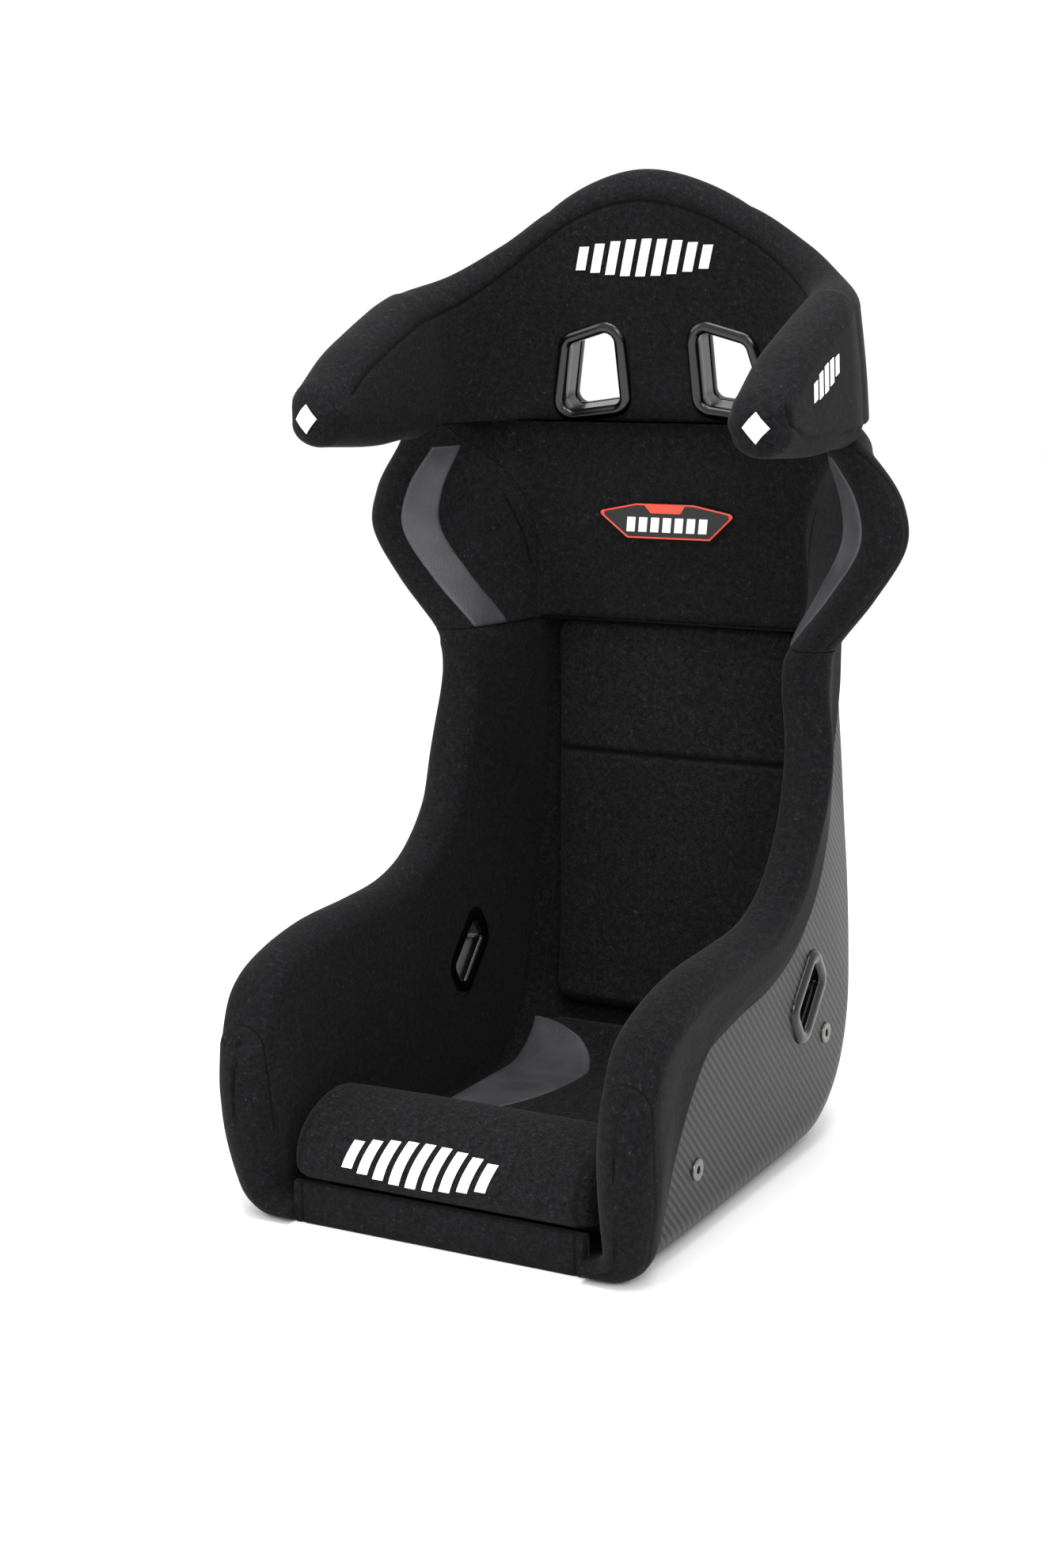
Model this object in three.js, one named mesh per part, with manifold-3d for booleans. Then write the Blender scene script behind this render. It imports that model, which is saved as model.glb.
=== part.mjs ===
// Racing bucket seat with a winged head restraint: a thin carbon shell, glued-on padding,
// three cushions held by hook-and-loop, belt-slot bezels and side-mount inserts.
// Millimetres. +Z is up, the seat faces -Y, +X is the right side seen from the front.
import * as THREE from 'three';
import { mergeVertices } from 'three/addons/utils/BufferGeometryUtils.js';
import Module from 'manifold-3d';

// ---- Driving dimensions -------------------------------------------------------------
const seatHeight = 925;          // floor to the top of the crown
const seatDepth = 521;           // front foot of the side walls to the back of the shell
const baseHalf = 205;            // shell half width at the thigh bolsters
const waistHalf = 187;           // shell half width at the waist
const shoulderHalf = 265;        // shell half width at the shoulder supports
const headHalf = 224;            // shell half width at the head wings
const tipY = 195;                // front edge of the shell's head wings

const shellWall = 4.5;           // carbon laminate
const flapThick = 8;             // padding on the outside of the shell
const crestRise = 15;            // padding above the shell's edge
const crestRound = 22;           // roundness of the padding's crest
const liningThick = 8;           // thin padding under the loose cushions
const headPadIn = 30;            // head padding, measured inwards from the shell's outside
const headPadOut = 26;           // head padding outside the wings
const headCrest = 20;            // head padding above the shell's edge
const noseLength = 20;           // padding in front of the shell's front edges
const gap = 0.3;                 // between any two pieces
const stripThick = 1.2;          // hook-and-loop strip
const gripThick = 1.2;           // anti-slip panel

const boltSpacing = 290;         // side-mount inserts, front to rear
const boltRear = [395, 112];     // rear insert, y and z
const boltFrontZ = 70;           // front insert's height
const insertR = 10;              // insert flange
const barrelR = 6;               // insert barrel
const threadR = 3.4;             // M8 tapping hole

// ---- The shell's stations ---------------------------------------------------------------
// Each station is a flat section of the bucket. It runs from the centre line (spine) out to
// the corner and along the side wall to the rim. Sizes stretch with the driving dimensions.
const nominalDepth = 521;
const nominalHeight = 925;
const Y = (v) => (v * seatDepth) / nominalDepth;
const Z = (v) => (v * seatHeight) / nominalHeight;
const fields = ['sy', 'sz', 'ry', 'rz', 'base', 'rim', 'corner', 'pad', 'padLow', 'flap'];
const station = (sy, sz, ry, rz, base, rim, corner, pad, padLow, flap) => (
  { sy: Y(sy), sz: Z(sz), ry: Y(ry), rz: Z(rz), base, rim, corner, pad, padLow, flap });
const b = baseHalf;
const w = waistHalf;
const s = shoulderHalf;
const h = headHalf;
const stations = [
  station(8, 5, -8, 160, b - 13, b - 2, 26, 36, 28, 150),       // front edge
  station(24, 3, 9, 194, b - 10, b - 1, 30, 37, 29, 165),
  station(55, 1, 45, 214, b - 8, b, 33, 38, 30, 110),
  station(110, 0, 107, 229, b - 7, b, 35, 38, 30, 55),          // thigh
  station(180, 0, 180, 234, b - 7, b, 36, 38, 30, 36),
  station(255, 0, 240, 240, b - 7, b, 38, 37, 30, 34),
  station(330, 0, 283, 254, b - 7, b - 1, 40, 36, 30, 36),
  station(400, 3, 314, 275, b - 7, b - 2, 44, 35, 29, 40),      // hip
  station(452, 33, 338, 302, b - 8, b - 4, 48, 33, 28, 44),
  station(482, 82, 356, 332, b - 10, b - 6, 52, 31, 26, 46),
  station(496, 140, 369, 360, w + 4, w + 10, 55, 30, 24, 48),
  station(506, 205, 378, 387, w - 1, w + 7, 57, 29, 23, 52),
  station(514, 275, 383, 412, w - 7, w + 3, 58, 28, 22, 60),    // waist
  station(519, 345, 385, 436, w - 11, w, 58, 27, 21, 70),
  station(521, 415, 385, 460, w - 17, w + 1, 57, 27, 20, 82),
  station(519, 484, 383, 484, w - 24, w + 9, 56, 28, 20, 95),   // top of the back cushion
  station(513, 532, 381, 532, s - 109, s - 29, 55, 29, 22, 110),
  station(503, 580, 382, 580, s - 113, s, 57, 29, 24, 118),     // shoulder
  station(495, 620, 385, 620, s - 102, s - 3, 66, 29, 26, 118),
  station(491, 655, 380, 655, h - 36, h + 21, 92, 29, 28, 118),
  station(488, 684, 360, 684, h - 2, h, 120, 30, 30, 118),      // neck, where the wings start
];
const frontStation = 0;
const hipStation = 7;
const ledgeStation = 15;
const neckStation = stations.length - 1;
// Rows of the mesh: every station, and the half steps where the shape turns quickly.
const turnsQuickly = (i) => i === 0 || (i >= hipStation && i < hipStation + 3)
  || (i >= ledgeStation - 1 && i < neckStation);
const meshRows = stations.flatMap((_, i) => (turnsQuickly(i) ? [i, i + 0.5] : [i]));
const rowsBetween = (from, to) => [from, ...meshRows.filter((t) => t > from + 0.05 && t < to - 0.05), to];

// Head: the sections are level. Spine depth by height, and the wings' edges along the plan.
const headSpine = [[684, 488], [700, 486], [735, 480], [772, 470], [810, 458], [850, 446],
  [885, 437], [905, 433]].map(([z, y]) => [Z(z), Y(y)]);
const headCorner = 120;
// Top edge of the shell, by column: 0..1 is the flat back, 1..2 the corner, 2..3 the wing.
const headTop = [[0, 903], [0.5, 892], [1, 866], [1.33, 834], [1.67, 806], [2, 791],
  [2.25, 778], [2.53, 761], [2.78, 743], [3, 718]].map(([c, z]) => [c, Z(z)]);
const wingBottom = [[2, 684], [2.15, 697], [2.5, 700], [3, 705]].map(([c, z]) => [c, Z(z)]);
const wingRoot = 8;              // short straight piece between the corner and the wing

// Mesh fineness
const flatSteps = 3;
const arcSteps = 4;
const wallSteps = 3;
const wingSteps = 5;
const headRows = 6;
const crestSteps = 7;

// ---- Small maths ---------------------------------------------------------------------------
const lerp = (a, c, t) => a + (c - a) * t;
const add = (p, q, k = 1) => [p[0] + q[0] * k, p[1] + q[1] * k];

function spline(values, t) {                      // Catmull-Rom through equally spaced values
  const last = values.length - 1;
  const i = Math.min(Math.max(Math.floor(t), 0), last - 1);
  const f = t - i;
  const p = (k) => values[Math.min(Math.max(k, 0), last)];
  const [a, c, d, e] = [p(i - 1), p(i), p(i + 1), p(i + 2)];
  return c + 0.5 * f * (d - a + f * (2 * a - 5 * c + 4 * d - e + f * (3 * (c - d) + e - a)));
}

function smoothTable(table, x) {                  // cubic through [x, value] pairs
  const last = table.length - 1;
  let i = table.findIndex((row) => row[0] > x) - 1;
  if (i < 0) i = x <= table[0][0] ? 0 : last - 1;
  const slope = (k) => {
    const lo = table[Math.max(k - 1, 0)];
    const hi = table[Math.min(k + 1, last)];
    return (hi[1] - lo[1]) / (hi[0] - lo[0]);
  };
  const width = table[i + 1][0] - table[i][0];
  const f = Math.min(Math.max((x - table[i][0]) / width, 0), 1);
  const [f2, f3] = [f * f, f * f * f];
  return table[i][1] * (2 * f3 - 3 * f2 + 1) + table[i + 1][1] * (3 * f2 - 2 * f3)
    + slope(i) * width * (f3 - 2 * f2 + f) + slope(i + 1) * width * (f3 - f2);
}

// A polyline p0-p1-p2 with its corner rounded, in fixed numbers of steps.
function roundedPath(p0, p1, p2, radius, n0, nArc, n2) {
  const l0 = Math.hypot(p1[0] - p0[0], p1[1] - p0[1]);
  const l2 = Math.hypot(p2[0] - p1[0], p2[1] - p1[1]);
  const u = [(p1[0] - p0[0]) / l0, (p1[1] - p0[1]) / l0];
  const v = [(p2[0] - p1[0]) / l2, (p2[1] - p1[1]) / l2];
  const turn = Math.atan2(u[0] * v[1] - u[1] * v[0], u[0] * v[0] + u[1] * v[1]);
  const reach = Math.min(radius * Math.tan(turn / 2), l0 * 0.98, l2 * 0.98);
  const r = reach / Math.tan(turn / 2);
  const start = add(p1, u, -reach);
  const end = add(p1, v, reach);
  const centre = add(start, [-u[1], u[0]], r);
  const points = [];
  for (let i = 0; i < n0; i += 1) {
    points.push([lerp(p0[0], start[0], i / n0), lerp(p0[1], start[1], i / n0)]);
  }
  for (let i = 0; i <= nArc; i += 1) {
    const a = (turn * i) / nArc;
    const n = [u[1] * Math.cos(a) + u[0] * Math.sin(a), -u[0] * Math.cos(a) + u[1] * Math.sin(a)];
    points.push(add(centre, n, r));
  }
  for (let i = 1; i <= n2; i += 1) points.push([lerp(end[0], p2[0], i / n2), lerp(end[1], p2[1], i / n2)]);
  return points;
}

// ---- Sections of the bucket -------------------------------------------------------------------
function sectionAt(t) {
  const f = {};
  for (const key of fields) f[key] = spline(stations.map((row) => row[key]), t);
  f.sz = Math.max(f.sz, 0);                        // flat where the pan rests
  const dy = f.ry - f.sy;
  const dz = f.rz - f.sz;
  f.height = Math.hypot(dy, dz);
  f.up = [dy / f.height, dz / f.height];
  f.place = ([x, v]) => new THREE.Vector3(x, f.sy + f.up[0] * v, f.sz + f.up[1] * v);
  const wallLength = Math.hypot(f.rim - f.base, f.height);
  f.wall = [(f.rim - f.base) / wallLength, f.height / wallLength];
  f.inward = [-f.wall[1], f.wall[0]];
  f.edge = [f.rim, f.height];
  const step = 0.01;
  const along = ['sy', 'sz'].map((key) => {
    const values = stations.map((row) => row[key]);
    return spline(values, t + step) - spline(values, t - step);
  });
  const l = Math.hypot(...along);
  f.normal = [-along[1] / l, along[0] / l];
  f.slant = 1 / (f.up[0] * f.normal[0] + f.up[1] * f.normal[1]);
  f.placeNormal = ([x, n]) => new THREE.Vector3(x, f.sy + f.normal[0] * n, f.sz + f.normal[1] * n);
  return f;
}

function headSectionAt(z) {
  const sy = smoothTable(headSpine, z);
  return { sy, z, place: ([x, v]) => new THREE.Vector3(x, sy - v, z) };
}

const moldPath = (f, offset = 0, n0 = flatSteps) => roundedPath(
  [0, offset], [f.base - offset, offset], add(f.edge, f.inward, offset),
  f.corner - offset, n0, arcSteps, wallSteps);

// Point of the mould surface at a given distance down from the rim, moved outwards by `out`.
function downFromRim(f, depth, out) {
  const path = roundedPath([0, 0], [f.base, 0], f.edge, f.corner, 2, 12, 2).reverse();
  let left = depth;
  for (let i = 0; i + 1 < path.length; i += 1) {
    const d = [path[i + 1][0] - path[i][0], path[i + 1][1] - path[i][1]];
    const l = Math.hypot(d[0], d[1]);
    if (left <= l || i + 2 === path.length) {
      const k = left / l;
      return [path[i][0] + d[0] * k - (d[1] / l) * out, path[i][1] + d[1] * k + (d[0] / l) * out];
    }
    left -= l;
  }
  return path[0];
}

function pathLength(path) {
  let sum = 0;
  for (let i = 1; i < path.length; i += 1) {
    sum += Math.hypot(path[i][0] - path[i - 1][0], path[i][1] - path[i - 1][1]);
  }
  return sum;
}

// Plan of the head section at height z, as a column table: the same columns as the body plus the wing.
function headColumns(z) {
  const { sy } = headSectionAt(z);
  const back = roundedPath([0, 0], [headHalf - 2, 0], [headHalf, headCorner + wingRoot], headCorner,
    flatSteps, arcSteps, wallSteps);
  const points = back.map(([x, v]) => [x, sy - v]);
  const root = points[points.length - 1];
  for (let i = 1; i <= wingSteps; i += 1) points.push([headHalf, lerp(root[1], tipY, i / wingSteps)]);
  return points;
}

// Column position on the 0..3 scale of the head's edge tables.
function columnScale(j) {
  if (j <= flatSteps) return j / flatSteps;
  if (j <= flatSteps + arcSteps) return 1 + (j - flatSteps) / arcSteps;
  const rootSteps = flatSteps + arcSteps + wallSteps;
  if (j <= rootSteps) return 2 + 0.01 * ((j - flatSteps - arcSteps) / wallSteps);
  return 2.01 + (0.99 * (j - rootSteps)) / wingSteps;
}

// ---- Solids ---------------------------------------------------------------------------------------
const wasm = await Module();
wasm.setup();

function geometryOf(vertices, faces) {
  const g = new THREE.BufferGeometry();
  g.setAttribute('position', new THREE.Float32BufferAttribute(vertices.flatMap((v) => [v.x, v.y, v.z]), 3));
  g.setIndex(faces.flat());
  return outward(g);
}

function signedVolume(g) {
  const p = g.attributes.position;
  const [a, c, d] = [new THREE.Vector3(), new THREE.Vector3(), new THREE.Vector3()];
  let sum = 0;
  for (let i = 0; i < g.index.count; i += 3) {
    a.fromBufferAttribute(p, g.index.getX(i));
    c.fromBufferAttribute(p, g.index.getX(i + 1));
    d.fromBufferAttribute(p, g.index.getX(i + 2));
    sum += a.dot(c.cross(d));
  }
  return sum / 6;
}

function outward(g) {                              // turns an inside-out solid the right way
  if (signedVolume(g) < 0) {
    const index = g.index.array;
    for (let i = 0; i < index.length; i += 3) [index[i], index[i + 1]] = [index[i + 1], index[i]];
  }
  return g;
}

function toSolid(geometry) {
  let g = geometry.clone();
  g.deleteAttribute('normal');
  g.deleteAttribute('uv');
  g = mergeVertices(g, 1e-4);
  return new wasm.Manifold(new wasm.Mesh({
    numProp: 3,
    vertProperties: new Float32Array(g.attributes.position.array),
    triVerts: new Uint32Array(g.index.array),
  }));
}

function fromSolid(solid) {
  const mesh = solid.getMesh();
  const g = new THREE.BufferGeometry();
  g.setAttribute('position', new THREE.Float32BufferAttribute(mesh.vertProperties, 3));
  g.setIndex(Array.from(mesh.triVerts));
  return g;
}

// Skin through equal loops of points, with both ends closed flat.
function loft(loops, flats) {
  const n = loops[0].length;
  const vertices = loops.flat();
  const faces = [];
  for (let i = 0; i + 1 < loops.length; i += 1) {
    for (let j = 0; j < n; j += 1) {
      const k = (j + 1) % n;
      const [a, c, d, e] = [i * n + j, i * n + k, (i + 1) * n + k, (i + 1) * n + j];
      faces.push([a, c, d], [a, d, e]);
    }
  }
  const cap = (flat, base, onward) => {
    // A hair of unevenness keeps points that lie in line, which the triangulation would drop.
    const contour = flat.map((p, i) => new THREE.Vector2(
      p[0] + 0.002 * Math.sin(9 * i), p[1] + 0.002 * Math.cos(7 * i)));
    const triangles = THREE.ShapeUtils.triangulateShape(contour, []);
    const runsOn = triangles.some((k) => k.some((p, i) => k[(i + 1) % 3] === (p + 1) % n));
    for (const [a, c, d] of triangles) {
      faces.push(runsOn === onward ? [base + a, base + c, base + d] : [base + a, base + d, base + c]);
    }
  };
  cap(flats[0], 0, false);
  cap(flats[1], (loops.length - 1) * n, true);
  return toSolid(geometryOf(vertices, faces));
}

// Loft of sections given as 2D outlines and their placing functions.
function loftSections(sections) {
  const loops = sections.map(({ outline, place }) => outline.map((p) => place(p)));
  return loft(loops, [sections[0].outline, sections[sections.length - 1].outline]);
}

// ---- The shell ------------------------------------------------------------------------------------
// One sheet of quads with shared vertices, thickened to the inside and the outside.
function shellSheet() {
  const vertices = [];
  const faces = [];
  const columns = flatSteps + arcSteps + wallSteps;
  const rows = [];
  const flip = (v) => new THREE.Vector3(-v.x, v.y, v.z);
  const mirrored = (row) => [...row.slice(1).reverse().map(flip), ...row];
  const store = (row) => row.map((v) => vertices.push(v) - 1);
  for (const t of meshRows) {
    const f = sectionAt(t);
    rows.push(store(mirrored(moldPath(f).map(f.place))));
  }
  // Head: columns run upwards from the neck row, and the wings' columns start at their own edge.
  const all = columns + wingSteps;
  const neck = rows[rows.length - 1];
  const headGrid = [];
  for (let i = 0; i <= headRows; i += 1) {
    const half = [];
    for (let j = 0; j <= all; j += 1) {
      const c = columnScale(j);
      const low = c > 2 ? smoothTable(wingBottom, c) : Z(684);
      const z = lerp(low, smoothTable(headTop, c), i / headRows);
      const [x, y] = headColumns(z)[j];
      half.push(new THREE.Vector3(x, y, z));
    }
    const row = mirrored(half);
    headGrid.push(row.map((v, j) => {
      const inNeck = i === 0 && Math.abs(j - all) <= columns;
      return inNeck ? neck[j - wingSteps] : vertices.push(v) - 1;
    }));
  }
  const quads = (grid) => {                        // the diagonals mirror at the centre line
    for (let i = 0; i + 1 < grid.length; i += 1) {
      for (let j = 0; j + 1 < grid[i].length; j += 1) {
        const [a, c, d, e] = [grid[i][j], grid[i][j + 1], grid[i + 1][j + 1], grid[i + 1][j]];
        if (2 * j >= grid[i].length - 1) faces.push([a, c, d], [a, d, e]);
        else faces.push([a, c, e], [c, d, e]);
      }
    }
  };
  quads(rows);
  quads(headGrid);
  return { vertices, faces };
}

function thicken({ vertices, faces }, inside, outside, grow) {
  const normals = vertices.map(() => new THREE.Vector3());
  for (const [a, c, d] of faces) {
    const n = vertices[c].clone().sub(vertices[a]).cross(vertices[d].clone().sub(vertices[a]));
    for (const k of [a, c, d]) normals[k].add(n);
  }
  const count = new Map();
  for (const [a, c, d] of faces) {
    for (const [p, q] of [[a, c], [c, d], [d, a]]) {
      const key = p < q ? `${p}_${q}` : `${q}_${p}`;
      if (count.has(key)) count.set(key, null);
      else count.set(key, [p, q]);
    }
  }
  const rim = [...count.values()].filter(Boolean);
  // Boundary vertices move out along the sheet by `grow`, so a grown copy clears the edges too.
  const push = vertices.map(() => new THREE.Vector3());
  for (const [p, q] of rim) {
    const edge = vertices[q].clone().sub(vertices[p]).normalize();
    for (const k of [p, q]) push[k].add(edge.clone().cross(normals[k].clone().normalize()));
  }
  const n = vertices.length;
  const inner = vertices.map((v, i) => v.clone().addScaledVector(normals[i].clone().normalize(), inside)
    .addScaledVector(push[i].lengthSq() > 0 ? push[i].clone().normalize() : push[i], grow));
  const outer = vertices.map((v, i) => v.clone().addScaledVector(normals[i].clone().normalize(), -outside)
    .addScaledVector(push[i].lengthSq() > 0 ? push[i].clone().normalize() : push[i], grow));
  const closed = [];
  for (const [a, c, d] of faces) closed.push([a, c, d], [n + a, n + d, n + c]);
  for (const [p, q] of rim) closed.push([q, p, n + p], [q, n + p, n + q]);
  return toSolid(geometryOf([...inner, ...outer], closed));
}

const sheet = shellSheet();
const facesInside = (() => {                       // the first row's normal must point up
  const [a, c, d] = sheet.faces[0].map((k) => sheet.vertices[k]);
  return c.clone().sub(a).cross(d.clone().sub(a)).z > 0;
})();
if (!facesInside) sheet.faces = sheet.faces.map(([a, c, d]) => [a, d, c]);
const shellSolid = thicken(sheet, shellWall, 0, 0);
const shellRoom = thicken(sheet, shellWall + gap, gap, gap);

// ---- Padding around the shell's edges -----------------------------------------------------------
// A padding outline runs up the inside of the wall, over the rim and down the outside, then back
// through the laminate. The shell's room is cut out of the loft afterwards.
const toeRound = 14;             // inner corner between wall padding and lining
const sideSteps = 8;
const seamGap = 0.005;           // station fraction left open on each side of a seam
const flapTaper = 8;             // the outer flap thins out over this length
const flapEdge = 1.5;

const toeThick = (f) => (shellWall + liningThick) * f.slant;
const toeEnd = (f) => f.base - f.padLow - toeRound - 3;

function crestOf(f) {
  const centre = add(add(f.edge, f.wall, crestRise - crestRound), f.inward, (f.pad - flapThick) / 2);
  return { centre, half: (f.pad + flapThick) / 2 };
}

function wallStartDepth(f) {                        // from the rim down to the top of the corner
  const path = moldPath(f);
  return pathLength(path.slice(flatSteps + arcSteps));
}

function bolsterOutline(f, { wallOnly = false, openFront = false } = {}) {
  const { centre, half } = crestOf(f);
  const innerTop = add(centre, f.inward, half);
  const cornerDepth = wallStartDepth(f);
  const arcLength = pathLength(moldPath(f).slice(flatSteps, flatSteps + arcSteps + 1));
  const flatEnd = moldPath(f)[flatSteps][0];
  let inner;
  let endDepth;
  if (wallOnly) {
    const foot = add(add(downFromRim(f, cornerDepth, 0), f.inward, f.pad), f.wall, gap);
    inner = Array.from({ length: sideSteps + 1 }, (_, i) => [
      lerp(foot[0], innerTop[0], i / sideSteps), lerp(foot[1], innerTop[1], i / sideSteps)]);
    endDepth = cornerDepth - gap;
  } else {
    const toe = toeThick(f);
    inner = roundedPath([toeEnd(f), toe], [f.base - f.padLow, toe], innerTop, toeRound, 1, 3, sideSteps - 4);
    endDepth = cornerDepth + arcLength + flatEnd - toeEnd(f);
  }
  const crest = [];
  for (let i = 1; i < crestSteps; i += 1) {
    const a = (Math.PI * i) / crestSteps;
    crest.push(add(add(centre, f.inward, half * Math.cos(a)), f.wall, crestRound * Math.sin(a)));
  }
  const top = crestRound - crestRise;
  const flap = openFront ? Math.min(f.flap, endDepth - 2 * flapTaper) : f.flap;
  const outerSteps = sideSteps / 2;
  const outer = [];
  for (let i = 0; i <= outerSteps; i += 1) {
    const depth = i < outerSteps ? lerp(top, flap - flapTaper, i / (outerSteps - 1)) : flap;
    outer.push(downFromRim(f, depth, i < outerSteps || openFront ? flapThick : flapEdge));
  }
  for (let i = 1; i <= outerSteps; i += 1) {
    const k = i / outerSteps;
    const out = openFront ? lerp(flapThick, f.sz, Math.min(2 * k, 1)) : -shellWall / 2;
    outer.push(downFromRim(f, lerp(flap, endDepth, k), out));
  }
  return { inner, crest, outer, centre, outline: [...inner, ...crest, ...outer] };
}

// Rounded nose ahead of the first section: the outline closes towards its own middle.
function noseSections(place, parts, steps, length, forward) {
  const { inner, crest, outer, centre } = parts;
  const n = inner.length - 1;
  const middle = [
    ...inner.map((p, i) => add(add([0, 0], p, 0.5), outer[n - i], 0.5)),
    ...crest.map(() => centre),
    ...outer.map((p, i) => add(add([0, 0], p, 0.5), inner[n - i], 0.5))];
  const whole = [...inner, ...crest, ...outer];
  const sections = [];
  for (let i = steps; i >= 0; i -= 1) {
    const a = (i / steps) * 1.35;
    const shrink = Math.cos(a);
    const ahead = gap * 1.6 + length * Math.sin(a);
    sections.push({
      outline: whole.map((p, k) => [lerp(middle[k][0], p[0], shrink), lerp(middle[k][1], p[1], shrink)]),
      place: (p) => place(p).addScaledVector(forward, ahead),
    });
  }
  return sections;
}

// The other side's piece, across the plane x = 0, and both sides as one.
const mirror = (solid) => toSolid(outward(fromSolid(solid).scale(-1, 1, 1)));
const halfLap = 1;                // the two halves run this far past the middle
const bothSides = (solid) => solid.add(mirror(solid));

function bolster(from, to, options) {
  const sections = [];
  if (options.nose) {
    const f = sectionAt(from);
    const parts = bolsterOutline(f, { openFront: true });
    sections.push(...noseSections(f.place, parts, 3, noseLength, new THREE.Vector3(0, -1, 0)));
  }
  for (const t of rowsBetween(from, to)) {
    const f = sectionAt(t);
    sections.push({ outline: bolsterOutline(f, options).outline, place: f.place });
  }
  return loftSections(sections);
}

// ---- Head padding -------------------------------------------------------------------------------
const headRound = 22;
const backOut = 5;               // padding behind the crown
const crownFlap = 55;            // it reaches this far down the back
const bottomSteps = 5;

function headPadding(extra = 0) {
  const all = flatSteps + arcSteps + wallSteps + wingSteps;
  const rootColumn = flatSteps + arcSteps + wallSteps;
  const columnAt = (j) => {
    const c = columnScale(j);
    const out = lerp(backOut, headPadOut, THREE.MathUtils.smoothstep(c, 1.5, 2.2)) + extra;
    const inn = headPadIn + extra;
    const top = smoothTable(headTop, c) + headCrest - headRound + extra;
    const wing = j > rootColumn;
    const bottom = wing
      ? smoothTable(wingBottom, c) - headCrest + headRound - extra
      : Z(684) + gap - 2 * extra;
    const n = (() => {
      const plan = headColumns(Z(740));
      const p = plan[Math.max(j - 1, 0)];
      const q = plan[Math.min(j + 1, all)];
      const l = Math.hypot(q[0] - p[0], q[1] - p[1]);
      return j === 0 ? [0, 1] : [-(q[1] - p[1]) / l, (q[0] - p[0]) / l];
    })();
    const at = (z, out2) => {
      const [x, y] = headColumns(z)[j];
      return [x + n[0] * out2, y + n[1] * out2, z];
    };
    const inner = Array.from({ length: sideSteps + 1 },
      (_, i) => at(lerp(bottom, top, i / sideSteps), -inn));
    const crest = [];
    for (let i = 1; i < crestSteps; i += 1) {
      const a = (Math.PI * i) / crestSteps;
      const [x, y] = at(top, (out - inn) / 2 - ((out + inn) / 2) * Math.cos(a));
      crest.push([x, y, top + headRound * Math.sin(a)]);
    }
    const flap = wing ? bottom : Math.max(lerp(top - crownFlap, bottom + 4,
      THREE.MathUtils.smoothstep(c, 1.1, 2)), bottom + 4);
    const outer = Array.from({ length: sideSteps + 1 }, (_, i) => at(lerp(top, flap, i / sideSteps), out));
    const closing = [];
    for (let i = 1; i <= bottomSteps; i += 1) {
      if (wing) {
        const a = (Math.PI * i) / (bottomSteps + 1);
        const [x, y] = at(bottom, (out - inn) / 2 + ((out + inn) / 2) * Math.cos(a));
        closing.push([x, y, bottom - headRound * Math.sin(a)]);
      } else {
        closing.push(at(lerp(flap, bottom, (i - 1) / (bottomSteps - 1)), -shellWall / 2));
      }
    }
    const centres = [at(top, (out - inn) / 2), at(bottom, (out - inn) / 2)];
    return { inner, crest, outer, closing, centres };
  };
  const loops = [];
  for (let j = 0; j <= all; j += 1) {
    const { inner, crest, outer, closing } = columnAt(j);
    loops.push([...inner, ...crest, ...outer, ...closing]);
  }
  const tip = columnAt(all);
  const whole = [...tip.inner, ...tip.crest, ...tip.outer, ...tip.closing];
  const middle = [
    ...tip.inner.map((p, i) => tip.outer[sideSteps - i].map((v, k) => (v + p[k]) / 2)),
    ...tip.crest.map(() => tip.centres[0]),
    ...tip.outer.map((p, i) => tip.inner[sideSteps - i].map((v, k) => (v + p[k]) / 2)),
    ...tip.closing.map(() => tip.centres[1])];
  for (let i = 1; i <= 4; i += 1) {
    const a = (i / 4) * 1.35;
    const ahead = gap * 2 + (headCrest + 2) * Math.sin(a) + extra;
    loops.push(whole.map((p, k) => {
      const q = p.map((v, m) => lerp(middle[k][m], v, Math.cos(a)));
      return [q[0], q[1] - ahead, q[2]];
    }));
  }
  const right = loops.map((loop) => loop.map(([x, y, z]) => new THREE.Vector3(x, y, z)));
  const left = right.slice(1).reverse().map((loop) => loop.map((v) => new THREE.Vector3(-v.x, v.y, v.z)));
  const flat = whole.map(([x, , z]) => [x, z]);
  return loft([...left, ...right], [flat.map(([x, z]) => [-x, z]), flat]);
}

// ---- Linings ------------------------------------------------------------------------------------
function lining(from, to) {                         // thin padding between the bolsters' toes
  const sections = [];
  for (const t of rowsBetween(from, to)) {
    const f = sectionAt(t);
    const half = toeEnd(f) - gap;
    const [low, top] = [shellWall * f.slant, toeThick(f)];
    sections.push({ outline: [[-halfLap, low], [half, low], [half, top], [-halfLap, top]], place: f.place });
  }
  return bothSides(loftSections(sections));
}

const upperThick = [[15, 36], [17, 34], [20, 30]];  // shell outside to the fabric, by station
function upperLining() {
  const sections = [];
  for (const t of rowsBetween(ledgeStation + seamGap, neckStation - seamGap)) {
    const f = sectionAt(t);
    const face = smoothTable(upperThick, t);
    const foot = add(add(downFromRim(f, wallStartDepth(f), 0), f.inward, f.pad), f.wall, -gap);
    const k = (face - foot[1]) / f.wall[1];
    const corner = [foot[0] + f.wall[0] * k, face];
    const back = moldPath(f, shellWall).slice(0, flatSteps + arcSteps + 1);
    const front = roundedPath([0, face], corner, foot, 30, flatSteps, 3, 1).reverse();
    const middle = [[-halfLap, face], [-halfLap, back[0][1]]];
    sections.push({ outline: [...back, ...front, ...middle], place: f.place });
  }
  return bothSides(loftSections(sections));
}

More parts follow.
